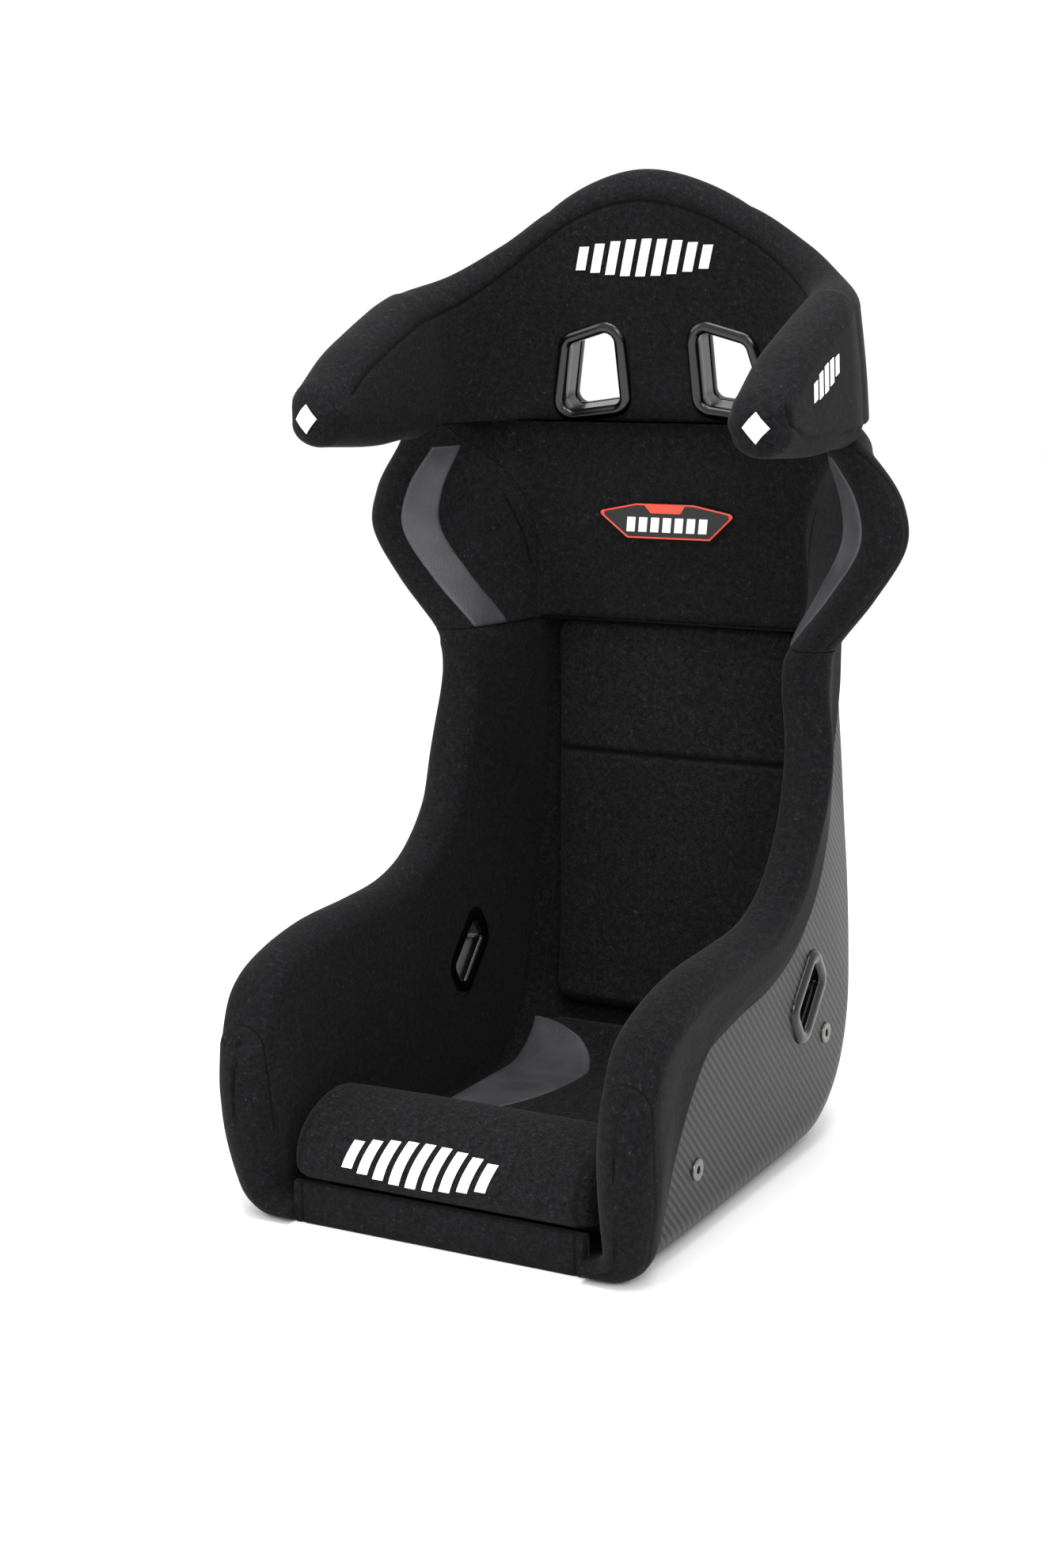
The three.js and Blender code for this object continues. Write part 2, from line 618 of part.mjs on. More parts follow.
// ---- Prisms on a plane ------------------------------------------------------------------------
function roundedPolygon(corners, radius, steps = 3) {
  const out = [];
  const n = corners.length;
  for (let i = 0; i < n; i += 1) {
    const path = roundedPath(add([0, 0], add(corners[i], corners[(i + n - 1) % n]), 0.5), corners[i],
      add([0, 0], add(corners[i], corners[(i + 1) % n]), 0.5), radius, 1, steps, 1);
    out.push(...path.slice(1, -1));
  }
  return out;
}

function growPolygon(corners, d) {                  // counter-clockwise outline moved outwards
  const n = corners.length;
  return corners.map((p, i) => {
    const dir = (q, r) => {
      const l = Math.hypot(r[0] - q[0], r[1] - q[1]);
      return [(r[0] - q[0]) / l, (r[1] - q[1]) / l];
    };
    const u = dir(corners[(i + n - 1) % n], p);
    const v = dir(p, corners[(i + 1) % n]);
    const k = d / (1 + u[0] * v[0] + u[1] * v[1]);
    return [p[0] + (u[1] + v[1]) * k, p[1] - (u[0] + v[0]) * k];
  });
}

// A plane: origin, two directions in it and its normal; a prism runs from one depth to another.
function prism(plane, outline, from, to) {
  const shape = new THREE.Shape(outline.map(([x, y]) => new THREE.Vector2(x, y)));
  const g = new THREE.ExtrudeGeometry(shape, { depth: to - from, bevelEnabled: false });
  g.translate(0, 0, from);
  const m = new THREE.Matrix4().makeBasis(plane.right, plane.up, plane.normal).setPosition(plane.origin);
  g.applyMatrix4(m);
  const soup = g.index ? g : mergeVertices((g.deleteAttribute('normal'), g.deleteAttribute('uv'), g), 1e-4);
  return toSolid(outward(soup));
}

const disc = (r, n = 20) => Array.from({ length: n }, (_, i) => [
  r * Math.cos((2 * Math.PI * i) / n), r * Math.sin((2 * Math.PI * i) / n)]);

// ---- Shoulder-belt slots --------------------------------------------------------------------------
const slotWall = 4;              // bezel tube
const slotRound = 9;
const slotLip = 13;              // bezel flange beyond the tube's inside
const slotProud = 6;
const slotBed = 3;               // the flange sits this deep in the padding
const slotHeight = 732;
const slotOpening = [[45, -31], [109, -40], [93, 27], [45, 41]];   // one side, counter-clockwise

function slotPlane() {
  const z = Z(slotHeight);
  const [lo, hi] = [headSectionAt(z - 20).sy, headSectionAt(z + 20).sy];
  const lean = Math.atan2(lo - hi, 40);
  return {
    origin: new THREE.Vector3(0, headSectionAt(z).sy - headPadIn, z),
    right: new THREE.Vector3(1, 0, 0),
    up: new THREE.Vector3(0, -Math.sin(lean), Math.cos(lean)),
    normal: new THREE.Vector3(0, -Math.cos(lean), -Math.sin(lean)),
  };
}

const slot = slotPlane();
const slotTube = roundedPolygon(growPolygon(slotOpening, slotWall), slotRound + slotWall);
const slotFlange = roundedPolygon(growPolygon(slotOpening, slotLip), slotRound + slotLip);
const slotHole = roundedPolygon(slotOpening, slotRound);
const slotMid = -headPadIn + 8;
const slotRoomTube = roundedPolygon(growPolygon(slotOpening, slotWall + gap), slotRound + slotWall + gap);
const slotRoomFlange = roundedPolygon(growPolygon(slotOpening, slotLip + gap), slotRound + slotLip + gap);
const through = 80;
const slotCut = prism(slot, slotRoomTube, -through, through)
  .add(prism(slot, slotRoomFlange, -slotBed - gap, through));

function shoulderBezelFront() {
  return prism(slot, slotTube, slotMid + gap, 0)
    .add(prism(slot, slotFlange, -slotBed, slotProud))
    .subtract(prism(slot, slotHole, -through, through));
}

function shoulderBezelRear() {
  return prism(slot, slotTube, -headPadIn - 4, slotMid)
    .add(prism(slot, slotFlange, -headPadIn - 9, -headPadIn + 3).subtract(shellRoom)
      .subtract(prism(slot, slotFlange, -headPadIn + shellWall, 0)))
    .subtract(prism(slot, slotHole, -through, through));
}

// ---- Lap-belt slots -----------------------------------------------------------------------------
const lapCentre = [Y(345), Z(160)];
const lapOpening = [[-30, -13], [26, -15], [34, 9], [-22, 13]];     // along the slot, across it
const lapTurn = (50 * Math.PI) / 180;              // the slot's slope, rear end up
const lapRound = 5;
const lapWall = 3.5;
const lapLip = 14;
const lapBed = 2.5;
const lapProud = 4;

// Half width of the shell's outside, and of the padding's inside, at a side-view point.
function wallAt(y, z) {
  let best = null;
  for (let t = 0.5; t < ledgeStation; t += 0.02) {
    const f = sectionAt(t);
    const off = Math.abs((y - f.sy) * f.up[1] - (z - f.sz) * f.up[0]);
    if (!best || off < best.off) best = { off, f, v: (y - f.sy) * f.up[0] + (z - f.sz) * f.up[1] };
  }
  const { f, v } = best;
  const k = v / f.height;
  const top = add(crestOf(f).centre, f.inward, crestOf(f).half);
  const low = f.base - f.padLow;
  const up = (v - toeThick(f)) / (top[1] - toeThick(f));
  return { outside: lerp(f.base, f.rim, k), inside: low + (top[0] - low) * up };
}

const lapWalls = wallAt(...lapCentre);
function lapPlane(x, side) {                       // side +1 faces outwards, -1 inwards
  const right = new THREE.Vector3(0, Math.cos(lapTurn), Math.sin(lapTurn));
  const normal = new THREE.Vector3(side, 0, 0);
  const up = normal.clone().cross(right);
  return { origin: new THREE.Vector3(x, lapCentre[0], lapCentre[1]), right, up, normal };
}
const lapFlip = (outline) => outline.map(([a, c]) => [a, -c]).reverse();
const lapInPlane = lapPlane(lapWalls.inside, -1);
const lapOutPlane = lapPlane(lapWalls.outside, 1);
const lapShape = (grow, flip) => {
  const outline = roundedPolygon(growPolygon(lapOpening, grow), lapRound + grow);
  return flip ? lapFlip(outline) : outline;
};
const lapDepth = lapWalls.outside - lapWalls.inside;
const lapJoint = shellWall + 4;                    // the two bezels meet this far inside the shell
const lapCut = prism(lapOutPlane, lapShape(lapWall + gap, false), -through, through)
  .add(prism(lapInPlane, lapShape(lapLip + gap, true), -lapBed - gap, through));

function lapBezelInner() {
  return prism(lapInPlane, lapShape(lapWall, true), -(lapDepth - lapJoint), 0)
    .add(prism(lapInPlane, lapShape(lapLip, true), -lapBed, lapProud))
    .subtract(prism(lapInPlane, lapShape(0, true), -through, through));
}

function lapBezelOuter() {
  return prism(lapOutPlane, lapShape(lapWall, false), -lapJoint + gap, 2)
    .add(prism(lapOutPlane, lapShape(lapLip, false), -2, lapProud + 1).subtract(shellRoom)
      .subtract(prism(lapOutPlane, lapShape(lapLip, false), -through, -2)))
    .subtract(prism(lapOutPlane, lapShape(0, false), -through, through));
}

// ---- Crotch-strap slot ----------------------------------------------------------------------------
const crotchCentreY = Y(203);
const crotchHalf = [32, 14];
const crotchLip = 9;
const crotchPlane = {
  origin: new THREE.Vector3(0, crotchCentreY, 0),
  right: new THREE.Vector3(1, 0, 0), up: new THREE.Vector3(0, 1, 0), normal: new THREE.Vector3(0, 0, 1),
};
const crotchShape = (grow) => roundedPolygon([[-1, -1], [1, -1], [1, 1], [-1, 1]]
  .map(([x, y]) => [x * (crotchHalf[0] + grow), y * (crotchHalf[1] + grow)]), 6 + grow);
const liningTop = shellWall + liningThick;
const crotchTop = liningTop + gap;
const crotchCut = prism(crotchPlane, crotchShape(slotWall + gap), -through, through);

function crotchBezel() {
  return prism(crotchPlane, crotchShape(slotWall), gap, crotchTop + 1)
    .add(prism(crotchPlane, crotchShape(crotchLip), crotchTop, crotchTop + 3))
    .subtract(prism(crotchPlane, crotchShape(0), -through, through));
}

// ---- Side-mount inserts -----------------------------------------------------------------------
const boltY = { rear: Y(boltRear[0]), front: Y(boltRear[0]) - boltSpacing };
const boltZ = { rear: Z(boltRear[1]), front: Z(boltFrontZ) };
const insertProud = 2.5;

function insertPlane(end, side) {
  const x = wallAt(boltY[end], boltZ[end]).outside;
  return {
    origin: new THREE.Vector3(side * x, boltY[end], boltZ[end]),
    right: new THREE.Vector3(0, side, 0),
    up: new THREE.Vector3(0, 0, 1),
    normal: new THREE.Vector3(side, 0, 0),
  };
}

function insert(plane) {
  return prism(plane, disc(barrelR), -shellWall, 1)
    .add(prism(plane, disc(insertR), -2, insertProud).subtract(shellRoom)
      .subtract(prism(plane, disc(insertR + 1), -through, -2)))
    .subtract(prism(plane, disc(threadR, 12), -through, through));
}
const insertCut = (plane) => prism(plane, disc(barrelR + gap), -through / 4, through);
const insertRoom = (plane) => prism(plane, disc(insertR + 2), -through / 4, through);

// ---- Loose cushions -------------------------------------------------------------------------------
const cushionLift = shellWall + liningThick + 2 * gap + stripThick;
const backHalf = 134;            // half width of the back cushion
const backThick = 21.5;
const seatHalf = 146;
const seatThick = 24;
const cushionSoft = 7;           // edge rounding

function cushionSection(f, half, thick, soft = cushionSoft) {
  const [low, top] = [cushionLift, cushionLift + thick];
  const right = [[half - soft, low], [half, low + soft], [half - 1, top - soft], [half - soft, top - 1],
    [half * 0.5, top]];
  const left = right.slice().reverse().map(([x, v]) => [-x, v]);
  return { outline: [...right, ...left], place: f.placeNormal };
}

function slabCushion(from, to, halfAt, thick) {
  const soft = 0.03;                               // a second row this close to each end rounds it
  const at = (k) => lerp(from, to, k);
  const rows = [from, ...rowsBetween(at(soft), at(1 - soft)), to];
  return loftSections(rows.map((t) => {
    const end = t === from || t === to;
    const half = halfAt((t - from) / (to - from)) - (end ? cushionSoft : 0);
    return cushionSection(sectionAt(t), half, thick - (end ? 4 : 0));
  }));
}

const backCushion = () => slabCushion(8.93, ledgeStation - 0.06, (k) => lerp(backHalf - 9, backHalf,
  THREE.MathUtils.smoothstep(k, 0, 0.6)), backThick);

function seatCushion() {
  const notch = prism(crotchPlane, roundedPolygon([[-42, -60], [42, -60], [42, 32], [-42, 32]], 8), -5, 90);
  return slabCushion(3.86, 8.55, (k) => lerp(seatHalf, seatHalf - 16, THREE.MathUtils.smoothstep(k, 0.6, 1)),
    seatThick).subtract(notch);
}

// Thigh cushion: a side profile swept across the seat, with soft ends.
const thighHalf = 151;
const thighEndRound = 16;
function thighCushion() {
  const low = liningTop + 2 * gap + stripThick;
  const profile = [[Y(165), low + 1], [Y(62), low + 2], [Y(20), 40], [Y(3), 41], [Y(-5), 50], [Y(-4), 68],
    [Y(8), 88], [Y(30), 102], [Y(60), 109], [Y(85), 106], [Y(115), 84], [Y(150), 44], [Y(166), low + 8]];
  const middle = [Y(75), 62];
  const sections = [];
  const ends = [0, 0.35, 0.7, 1];
  const xs = [...ends.map((k) => [-thighHalf + thighEndRound * k, k]), [0, 1],
    ...ends.slice().reverse().map((k) => [thighHalf - thighEndRound * k, k])];
  for (const [x, k] of xs) {
    const shrink = 1 - 0.16 * (1 - k) ** 2;
    const outline = profile.map((p) => [lerp(middle[0], p[0], shrink), lerp(middle[1], p[1], shrink)]);
    sections.push({ outline, place: ([y, z]) => new THREE.Vector3(x, y, z) });
  }
  return loftSections(sections);
}

function frontApron() {                             // padded flap over the shell's front edge
  const half = toeEnd(sectionAt(0)) - gap;
  const back = sectionAt(0).sy - gap - 0.5;
  const profile = [[0, 0], [0, 26], [-2, 36], [-6, 38], [-10, 35], [-11, 6], [-9, 0]]
    .map(([y, z]) => [back + y, z]);
  return loftSections([-half, 0, half].map((x) => (
    { outline: profile, place: ([y, z]) => new THREE.Vector3(x, y, z) })));
}

// ---- Thin panels that follow a surface --------------------------------------------------------
// A point between two rows of the mesh, on the straight line between theirs.
function onFacets(t, pointAt) {
  const next = Math.max(meshRows.findIndex((row) => row >= t), 1);
  const [low, high] = [meshRows[next - 1], meshRows[next]];
  return pointAt(low).lerp(pointAt(high), (t - low) / (high - low));
}

function patch(pointAt, rows, columns, low, thick) {
  const vertices = [];
  const faces = [];
  for (let i = 0; i <= rows; i += 1) {
    for (let j = 0; j <= columns; j += 1) vertices.push(pointAt(i / rows, j / columns));
  }
  const id = (i, j) => i * (columns + 1) + j;
  for (let i = 0; i < rows; i += 1) {
    for (let j = 0; j < columns; j += 1) {
      faces.push([id(i, j), id(i, j + 1), id(i + 1, j + 1)], [id(i, j), id(i + 1, j + 1), id(i + 1, j)]);
    }
  }
  return thicken({ vertices, faces }, low + thick, -low, 0);
}

function shoulderGrip() {                           // right side; runs up the inside of the support
  const width = 42;
  return patch((u, v) => {
    const f = sectionAt(lerp(ledgeStation + 0.2, 18.7, u));
    const { centre, half } = crestOf(f);
    const top = add(centre, f.inward, half);
    return f.place(add(top, f.wall, -(2 + (1 - v) * width * (1 - 0.25 * u))));
  }, 8, 3, gap + 0.4, gripThick);
}

function seatGrip() {                               // half ellipse against the side of the seat cushion
  const reach = 62;
  const edge = seatHalf - 16 - cushionSoft - 2;
  return patch((u, v) => {
    const bulge = Math.sqrt(Math.max(1 - (2 * u - 1) ** 2, 0.02));
    const x = edge - (1 - v) * reach * bulge;
    return onFacets(lerp(4.6, 8.35, u), (t) => sectionAt(t).placeNormal([x, cushionLift + seatThick + 0.2]));
  }, 10, 4, gap, gripThick);
}

function hookStrip(from, to, x, halfWide) {
  return loftSections(rowsBetween(from, to).map((t) => {
    const f = sectionAt(t);
    const [low, high] = [gap, gap + stripThick].map((d) => toeThick(f) + d * f.slant);
    return {
      outline: [[x - halfWide, low], [x + halfWide, low], [x + halfWide, high], [x - halfWide, high]],
      place: f.place,
    };
  }));
}

function badge() {
  const t = 17.1;
  const f = sectionAt(t);
  const [lo, hi] = [sectionAt(t - 0.3), sectionAt(t + 0.3)];
  const face = (g, k) => g.place([0, smoothTable(upperThick, k)]);
  const up = face(hi, t + 0.3).sub(face(lo, t - 0.3)).normalize();
  const right = new THREE.Vector3(1, 0, 0);
  const plane = { origin: face(f, t), right, up, normal: right.clone().cross(up) };
  const outline = roundedPolygon([[-48, -18], [48, -18], [73, 12], [45, 21], [-45, 21], [-73, 12]], 3, 2);
  return prism(plane, outline, 2 * gap, 2 * gap + 1.8);
}

// ---- Materials ---------------------------------------------------------------------------------
const material = (color, roughness, metalness = 0) => (
  new THREE.MeshStandardMaterial({ color, roughness, metalness }));
const knit = () => material(0x161617, 0.95);
const insertSteel = () => material(0xc9c9c6, 0.3, 1);
const carbon = () => material(0x26272a, 0.25);
const gloss = () => material(0x0c0c0d, 0.25);
const grip = () => material(0x3a3b3d, 0.7);
const hook = () => material(0x101011, 0.9);
const red = () => material(0xb3402f, 0.5);

// ---- Assembly --------------------------------------------------------------------------------------
const group = new THREE.Group();
function place(name, solid, finish) {
  const mesh = new THREE.Mesh(fromSolid(solid), finish);
  mesh.name = name;
  group.add(mesh);
}
const cutBy = (solid, rooms) => rooms.reduce((left, room) => left.subtract(room), solid);
function placePair(name, solid, finish, rooms = []) {
  place(`${name}_right`, cutBy(solid, rooms), finish());
  place(`${name}_left`, cutBy(mirror(solid), rooms), finish());
}

const insertPlanes = ['rear', 'front'].flatMap((end) => [1, -1].map((side) => insertPlane(end, side)));
const slotCuts = bothSides(slotCut);
const lapCuts = bothSides(lapCut);
place('shell', cutBy(shellSolid, [slotCuts, lapCuts, crotchCut, ...insertPlanes.map(insertCut)]), carbon());

const headRoom = bothSides(headPadding(2 * gap));
place('head_restraint_pad', cutBy(headPadding(), [shellRoom, slotCuts]), knit());
place('upper_back_pad', cutBy(upperLining(), [shellRoom, slotCuts, headRoom]), knit());
placePair('thigh_bolster', bolster(frontStation, ledgeStation - seamGap, { nose: true }), knit,
  [shellRoom, lapCuts, ...insertPlanes.map(insertRoom)]);
placePair('shoulder_bolster', bolster(ledgeStation + seamGap, neckStation - seamGap, { wallOnly: true }), knit,
  [shellRoom, headRoom]);
place('pan_lining', cutBy(lining(0.35, hipStation + 0.4), [shellRoom, crotchCut]), knit());
place('back_lining', lining(hipStation + 0.41, ledgeStation - seamGap).subtract(shellRoom), knit());
place('front_apron', frontApron(), knit());
place('back_cushion', backCushion(), knit());
place('seat_cushion', seatCushion(), knit());
place('thigh_cushion', thighCushion(), knit());
placePair('shoulder_grip', shoulderGrip(), grip);
placePair('seat_grip', seatGrip(), grip);
placePair('shoulder_slot_bezel', shoulderBezelFront(), gloss);
placePair('shoulder_slot_back_bezel', shoulderBezelRear(), gloss);
placePair('lap_slot_bezel_inner', lapBezelInner(), gloss);
placePair('lap_slot_bezel_outer', lapBezelOuter(), gloss);
place('crotch_slot_bezel', crotchBezel(), gloss());
const insertNames = ['rear_right', 'rear_left', 'front_right', 'front_left'];
insertPlanes.forEach((plane, i) => (
  place(`side_mount_insert_${insertNames[i]}`, insert(plane), insertSteel())));
place('badge_plate', badge(), red());
placePair('back_hook_strip', hookStrip(10, 14, 60, 22), hook);
placePair('seat_hook_strip', hookStrip(5, 7, 90, 22), hook);
placePair('thigh_hook_strip', hookStrip(2, 3, 90, 22), hook);

// The origin is under the middle of the seat, on the floor.
const box = new THREE.Box3().setFromObject(group);
group.position.set(0, -(box.min.y + box.max.y) / 2, -box.min.z);
group.updateMatrixWorld(true);

export default group;
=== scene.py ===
import math

import bmesh
import bpy
import numpy as np
from mathutils import Matrix, Vector
from mathutils.bvhtree import BVHTree
from mathutils.kdtree import KDTree


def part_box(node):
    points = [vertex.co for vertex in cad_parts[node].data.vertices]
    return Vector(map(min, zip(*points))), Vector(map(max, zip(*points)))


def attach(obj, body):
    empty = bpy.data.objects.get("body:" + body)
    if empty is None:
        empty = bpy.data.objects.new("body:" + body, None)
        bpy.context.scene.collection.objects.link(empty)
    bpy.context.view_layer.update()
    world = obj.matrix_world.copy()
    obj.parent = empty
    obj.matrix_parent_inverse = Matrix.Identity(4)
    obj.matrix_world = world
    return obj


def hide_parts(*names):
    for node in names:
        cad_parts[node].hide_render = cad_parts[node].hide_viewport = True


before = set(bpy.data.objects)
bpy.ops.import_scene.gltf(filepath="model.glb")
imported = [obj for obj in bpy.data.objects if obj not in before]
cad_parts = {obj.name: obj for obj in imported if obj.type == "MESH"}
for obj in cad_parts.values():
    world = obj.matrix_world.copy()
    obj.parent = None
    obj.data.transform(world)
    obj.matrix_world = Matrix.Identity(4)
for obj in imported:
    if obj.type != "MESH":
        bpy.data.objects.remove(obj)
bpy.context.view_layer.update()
bpy.ops.object.select_all(action="DESELECT")

# The seat is drawn in millimetres with y = 0 at the pan's front edge, as its sections are
# dimensioned. The frame says where that edge is in the part's own frame.
boltRear = (395.0, 112.0)
insertLow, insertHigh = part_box("side_mount_insert_rear_right")
yShift = (insertLow.y + insertHigh.y) / 2 - boltRear[0] / 1000


def toRow(points):
    return np.asarray(points, float) / 1000 + np.array([0, yShift, 0])


print("stage: frame loaded, y shift", round(yShift, 5))

# What a user would change about the bucket's form
seat = {
    "baseHalf": 205, "waistHalf": 187, "shoulderHalf": 265, "headHalf": 224, "wingTipY": 195,
    "shellWall": 4.5, "flapThick": 8, "crestRise": 15, "crestRound": 22, "liningThick": 8,
    "headPadIn": 30, "headPadOut": 26, "headCrest": 20, "headRound": 22, "backOut": 5,
    "crownFlap": 55, "noseLength": 20, "toeRound": 14, "seamGap": 0.005,
}
b, w, s, h = seat["baseHalf"], seat["waistHalf"], seat["shoulderHalf"], seat["headHalf"]
fields = ("sy", "sz", "ry", "rz", "base", "rim", "corner", "pad", "padLow", "flap")
stations = [
    (8, 5, -8, 160, b - 13, b - 2, 26, 36, 28, 150),      # front edge
    (24, 3, 9, 194, b - 10, b - 1, 30, 37, 29, 165),
    (55, 1, 45, 214, b - 8, b, 33, 38, 30, 110),
    (110, 0, 107, 229, b - 7, b, 35, 38, 30, 55),         # thigh
    (180, 0, 180, 234, b - 7, b, 36, 38, 30, 36),
    (255, 0, 240, 240, b - 7, b, 38, 37, 30, 34),
    (330, 0, 283, 254, b - 7, b - 1, 40, 36, 30, 36),
    (400, 3, 314, 275, b - 7, b - 2, 44, 35, 29, 40),     # hip
    (452, 33, 338, 302, b - 8, b - 4, 48, 33, 28, 44),
    (482, 82, 356, 332, b - 10, b - 6, 52, 31, 26, 46),
    (496, 140, 369, 360, w + 4, w + 10, 55, 30, 24, 48),
    (506, 205, 378, 387, w - 1, w + 7, 57, 29, 23, 52),
    (514, 275, 383, 412, w - 7, w + 3, 58, 28, 22, 60),   # waist
    (519, 345, 385, 436, w - 11, w, 58, 27, 21, 70),
    (521, 415, 385, 460, w - 17, w + 1, 57, 27, 20, 82),
    (519, 484, 383, 484, w - 24, w + 9, 56, 28, 20, 95),  # top of the back cushion
    (513, 532, 381, 532, s - 109, s - 29, 55, 29, 22, 110),
    (503, 580, 382, 580, s - 113, s, 57, 29, 24, 118),    # shoulder
    (495, 620, 385, 620, s - 102, s - 3, 66, 29, 26, 118),
    (491, 655, 380, 655, h - 36, h + 21, 92, 29, 28, 118),
    (488, 684, 360, 684, h - 2, h, 120, 30, 30, 118),     # neck
]
ledge, neck = 15, 20
headSpine = [(684, 488), (700, 486), (735, 480), (772, 470), (810, 458), (850, 446), (885, 437),
             (905, 433)]
headTop = [(-0.5, 892), (0, 902), (0.5, 892), (1, 866), (1.33, 834), (1.67, 806), (2, 791),
           (2.25, 778), (2.53, 761), (2.78, 743), (3, 718)]
wingBottom = [(2, 684), (2.15, 697), (2.5, 700), (3, 705)]
wingPadBottom = [(2, 684), (2.15, 691), (2.5, 689), (3, 694)]      # foam hangs below the laminate
headCorner, wingRoot = 120, 8
upperThick = [(15, 36), (17, 34), (20, 30)]
# how much fuller the foam is at the crest than over the laminate, along the side
crestPuff = [(0, 5), (2, 6), (5, 3), (8, 4), (9.5, 9), (11, 11), (14, 11), (15, 8), (16, 6), (18, 5),
             (19.6, 0), (20, 0)]


# Curves and sections
def spline(values, t):
    last = len(values) - 1
    i = min(max(int(math.floor(t)), 0), last - 1)
    f = t - i
    a, c, d, e = (values[min(max(k, 0), last)] for k in (i - 1, i, i + 1, i + 2))
    return c + 0.5 * f * (d - a + f * (2 * a - 5 * c + 4 * d - e + f * (3 * (c - d) + e - a)))


def smoothTable(table, x):
    last = len(table) - 1
    i = next((k for k, row in enumerate(table) if row[0] > x), last) - 1
    i = min(max(i, 0), last - 1)

    def slope(k):
        lo, hi = table[max(k - 1, 0)], table[min(k + 1, last)]
        return (hi[1] - lo[1]) / (hi[0] - lo[0])

    width = table[i + 1][0] - table[i][0]
    f = min(max((x - table[i][0]) / width, 0), 1)
    f2, f3 = f * f, f * f * f
    return (table[i][1] * (2 * f3 - 3 * f2 + 1) + table[i + 1][1] * (3 * f2 - 2 * f3)
            + slope(i) * width * (f3 - 2 * f2 + f) + slope(i + 1) * width * (f3 - f2))


def smoothstep(x, lo, hi):
    k = min(max((x - lo) / (hi - lo), 0), 1)
    return k * k * (3 - 2 * k)


def roundedPath(p0, p1, p2, radius, n0, nArc, n2):
    p0, p1, p2 = (np.asarray(p, float) for p in (p0, p1, p2))
    l0, l2 = np.linalg.norm(p1 - p0), np.linalg.norm(p2 - p1)
    u, v = (p1 - p0) / l0, (p2 - p1) / l2
    turn = math.atan2(u[0] * v[1] - u[1] * v[0], u @ v)
    reach = min(radius * math.tan(turn / 2), l0 * 0.98, l2 * 0.98)
    r = reach / math.tan(turn / 2)
    start, end = p1 - u * reach, p1 + v * reach
    centre = start + np.array([-u[1], u[0]]) * r
    points = [p0 + (start - p0) * (i / n0) for i in range(n0)]
    for i in range(nArc + 1):
        a = turn * i / nArc
        n = np.array([u[1] * math.cos(a) + u[0] * math.sin(a),
                      -u[0] * math.cos(a) + u[1] * math.sin(a)])
        points.append(centre + n * r)
    points += [end + (p2 - end) * (i / n2) for i in range(1, n2 + 1)]
    return np.array(points)


class Section:
    def __init__(self, t):
        self.t = t
        for key, column in zip(fields, zip(*stations)):
            setattr(self, key, spline(column, t))
        self.sz = max(self.sz, 0)
        rise = np.array([self.ry - self.sy, self.rz - self.sz])
        self.height = np.linalg.norm(rise)
        self.up = rise / self.height
        wall = np.array([self.rim - self.base, self.height])
        self.wall = wall / np.linalg.norm(wall)
        self.inward = np.array([-self.wall[1], self.wall[0]])
        self.edge = np.array([self.rim, self.height])
        step = 0.01
        along = np.array([spline(column, t + step) - spline(column, t - step)
                          for column in list(zip(*stations))[:2]])
        along /= np.linalg.norm(along)
        self.normal = np.array([-along[1], along[0]])
        self.slant = 1 / (self.up @ self.normal)
        self.puff = smoothTable(crestPuff, t)
        self.crestHalf = (self.pad + seat["flapThick"] + self.puff) / 2
        self.crest = (self.edge + self.wall * (seat["crestRise"] - seat["crestRound"] + self.puff)
                      + self.inward * (self.pad - seat["flapThick"] - self.puff) / 2)
        path = roundedPath((0, 0), (self.base, 0), self.edge, self.corner, 12, 40, 30)[::-1]
        d = np.gradient(path, axis=0)
        d /= np.linalg.norm(d, axis=1)[:, None]
        self.path, self.pathOut = path, np.stack([-d[:, 1], d[:, 0]], 1)
        self.pathAt = np.concatenate([[0], np.cumsum(np.linalg.norm(np.diff(path, axis=0), axis=1))])
        self.wallDepth = self.pathAt[30]
        self.arcEnd = self.pathAt[70]
        self.flatX = path[70, 0]

    def place(self, outline):
        x, v = np.asarray(outline, float).T
        return np.stack([x, self.sy + self.up[0] * v, self.sz + self.up[1] * v], 1)

    def placeNormal(self, outline):
        x, n = np.asarray(outline, float).T
        return np.stack([x, self.sy + self.normal[0] * n, self.sz + self.normal[1] * n], 1)

    def down(self, depth, out):
        p = [np.interp(depth, self.pathAt, self.path[:, k])
             + np.interp(depth, self.pathAt, self.pathOut[:, k]) * out for k in (0, 1)]
        return np.stack(p, -1)

    def toe(self):
        return (seat["shellWall"] + seat["liningThick"]) * self.slant

    def toeEnd(self):
        return self.base - self.padLow - seat["toeRound"] - 3

    def mold(self, n0, nArc, n2, offset=0):
        return roundedPath((0, offset), (self.base - offset, offset), self.edge + self.inward * offset,
                           self.corner - offset, n0, nArc, n2)


def headSpineAt(z):
    return smoothTable(headSpine, z)


# Meshes
def makeMesh(name, vertices, faces):
    mesh = bpy.data.meshes.new(name)
    mesh.from_pydata([tuple(v) for v in vertices], [], faces)
    mesh.update()
    obj = bpy.data.objects.new(name, mesh)
    bpy.context.scene.collection.objects.link(obj)
    return obj


def gridFaces(rows, columns, wrapRows=False, wrapColumns=False):
    i, j = np.meshgrid(np.arange(rows if wrapRows else rows - 1),
                       np.arange(columns if wrapColumns else columns - 1), indexing="ij")
    i, j = i.ravel(), j.ravel()
    i2, j2 = (i + 1) % rows, (j + 1) % columns
    quads = np.stack([i * columns + j, i * columns + j2, i2 * columns + j2, i2 * columns + j], 1)
    return quads.tolist()


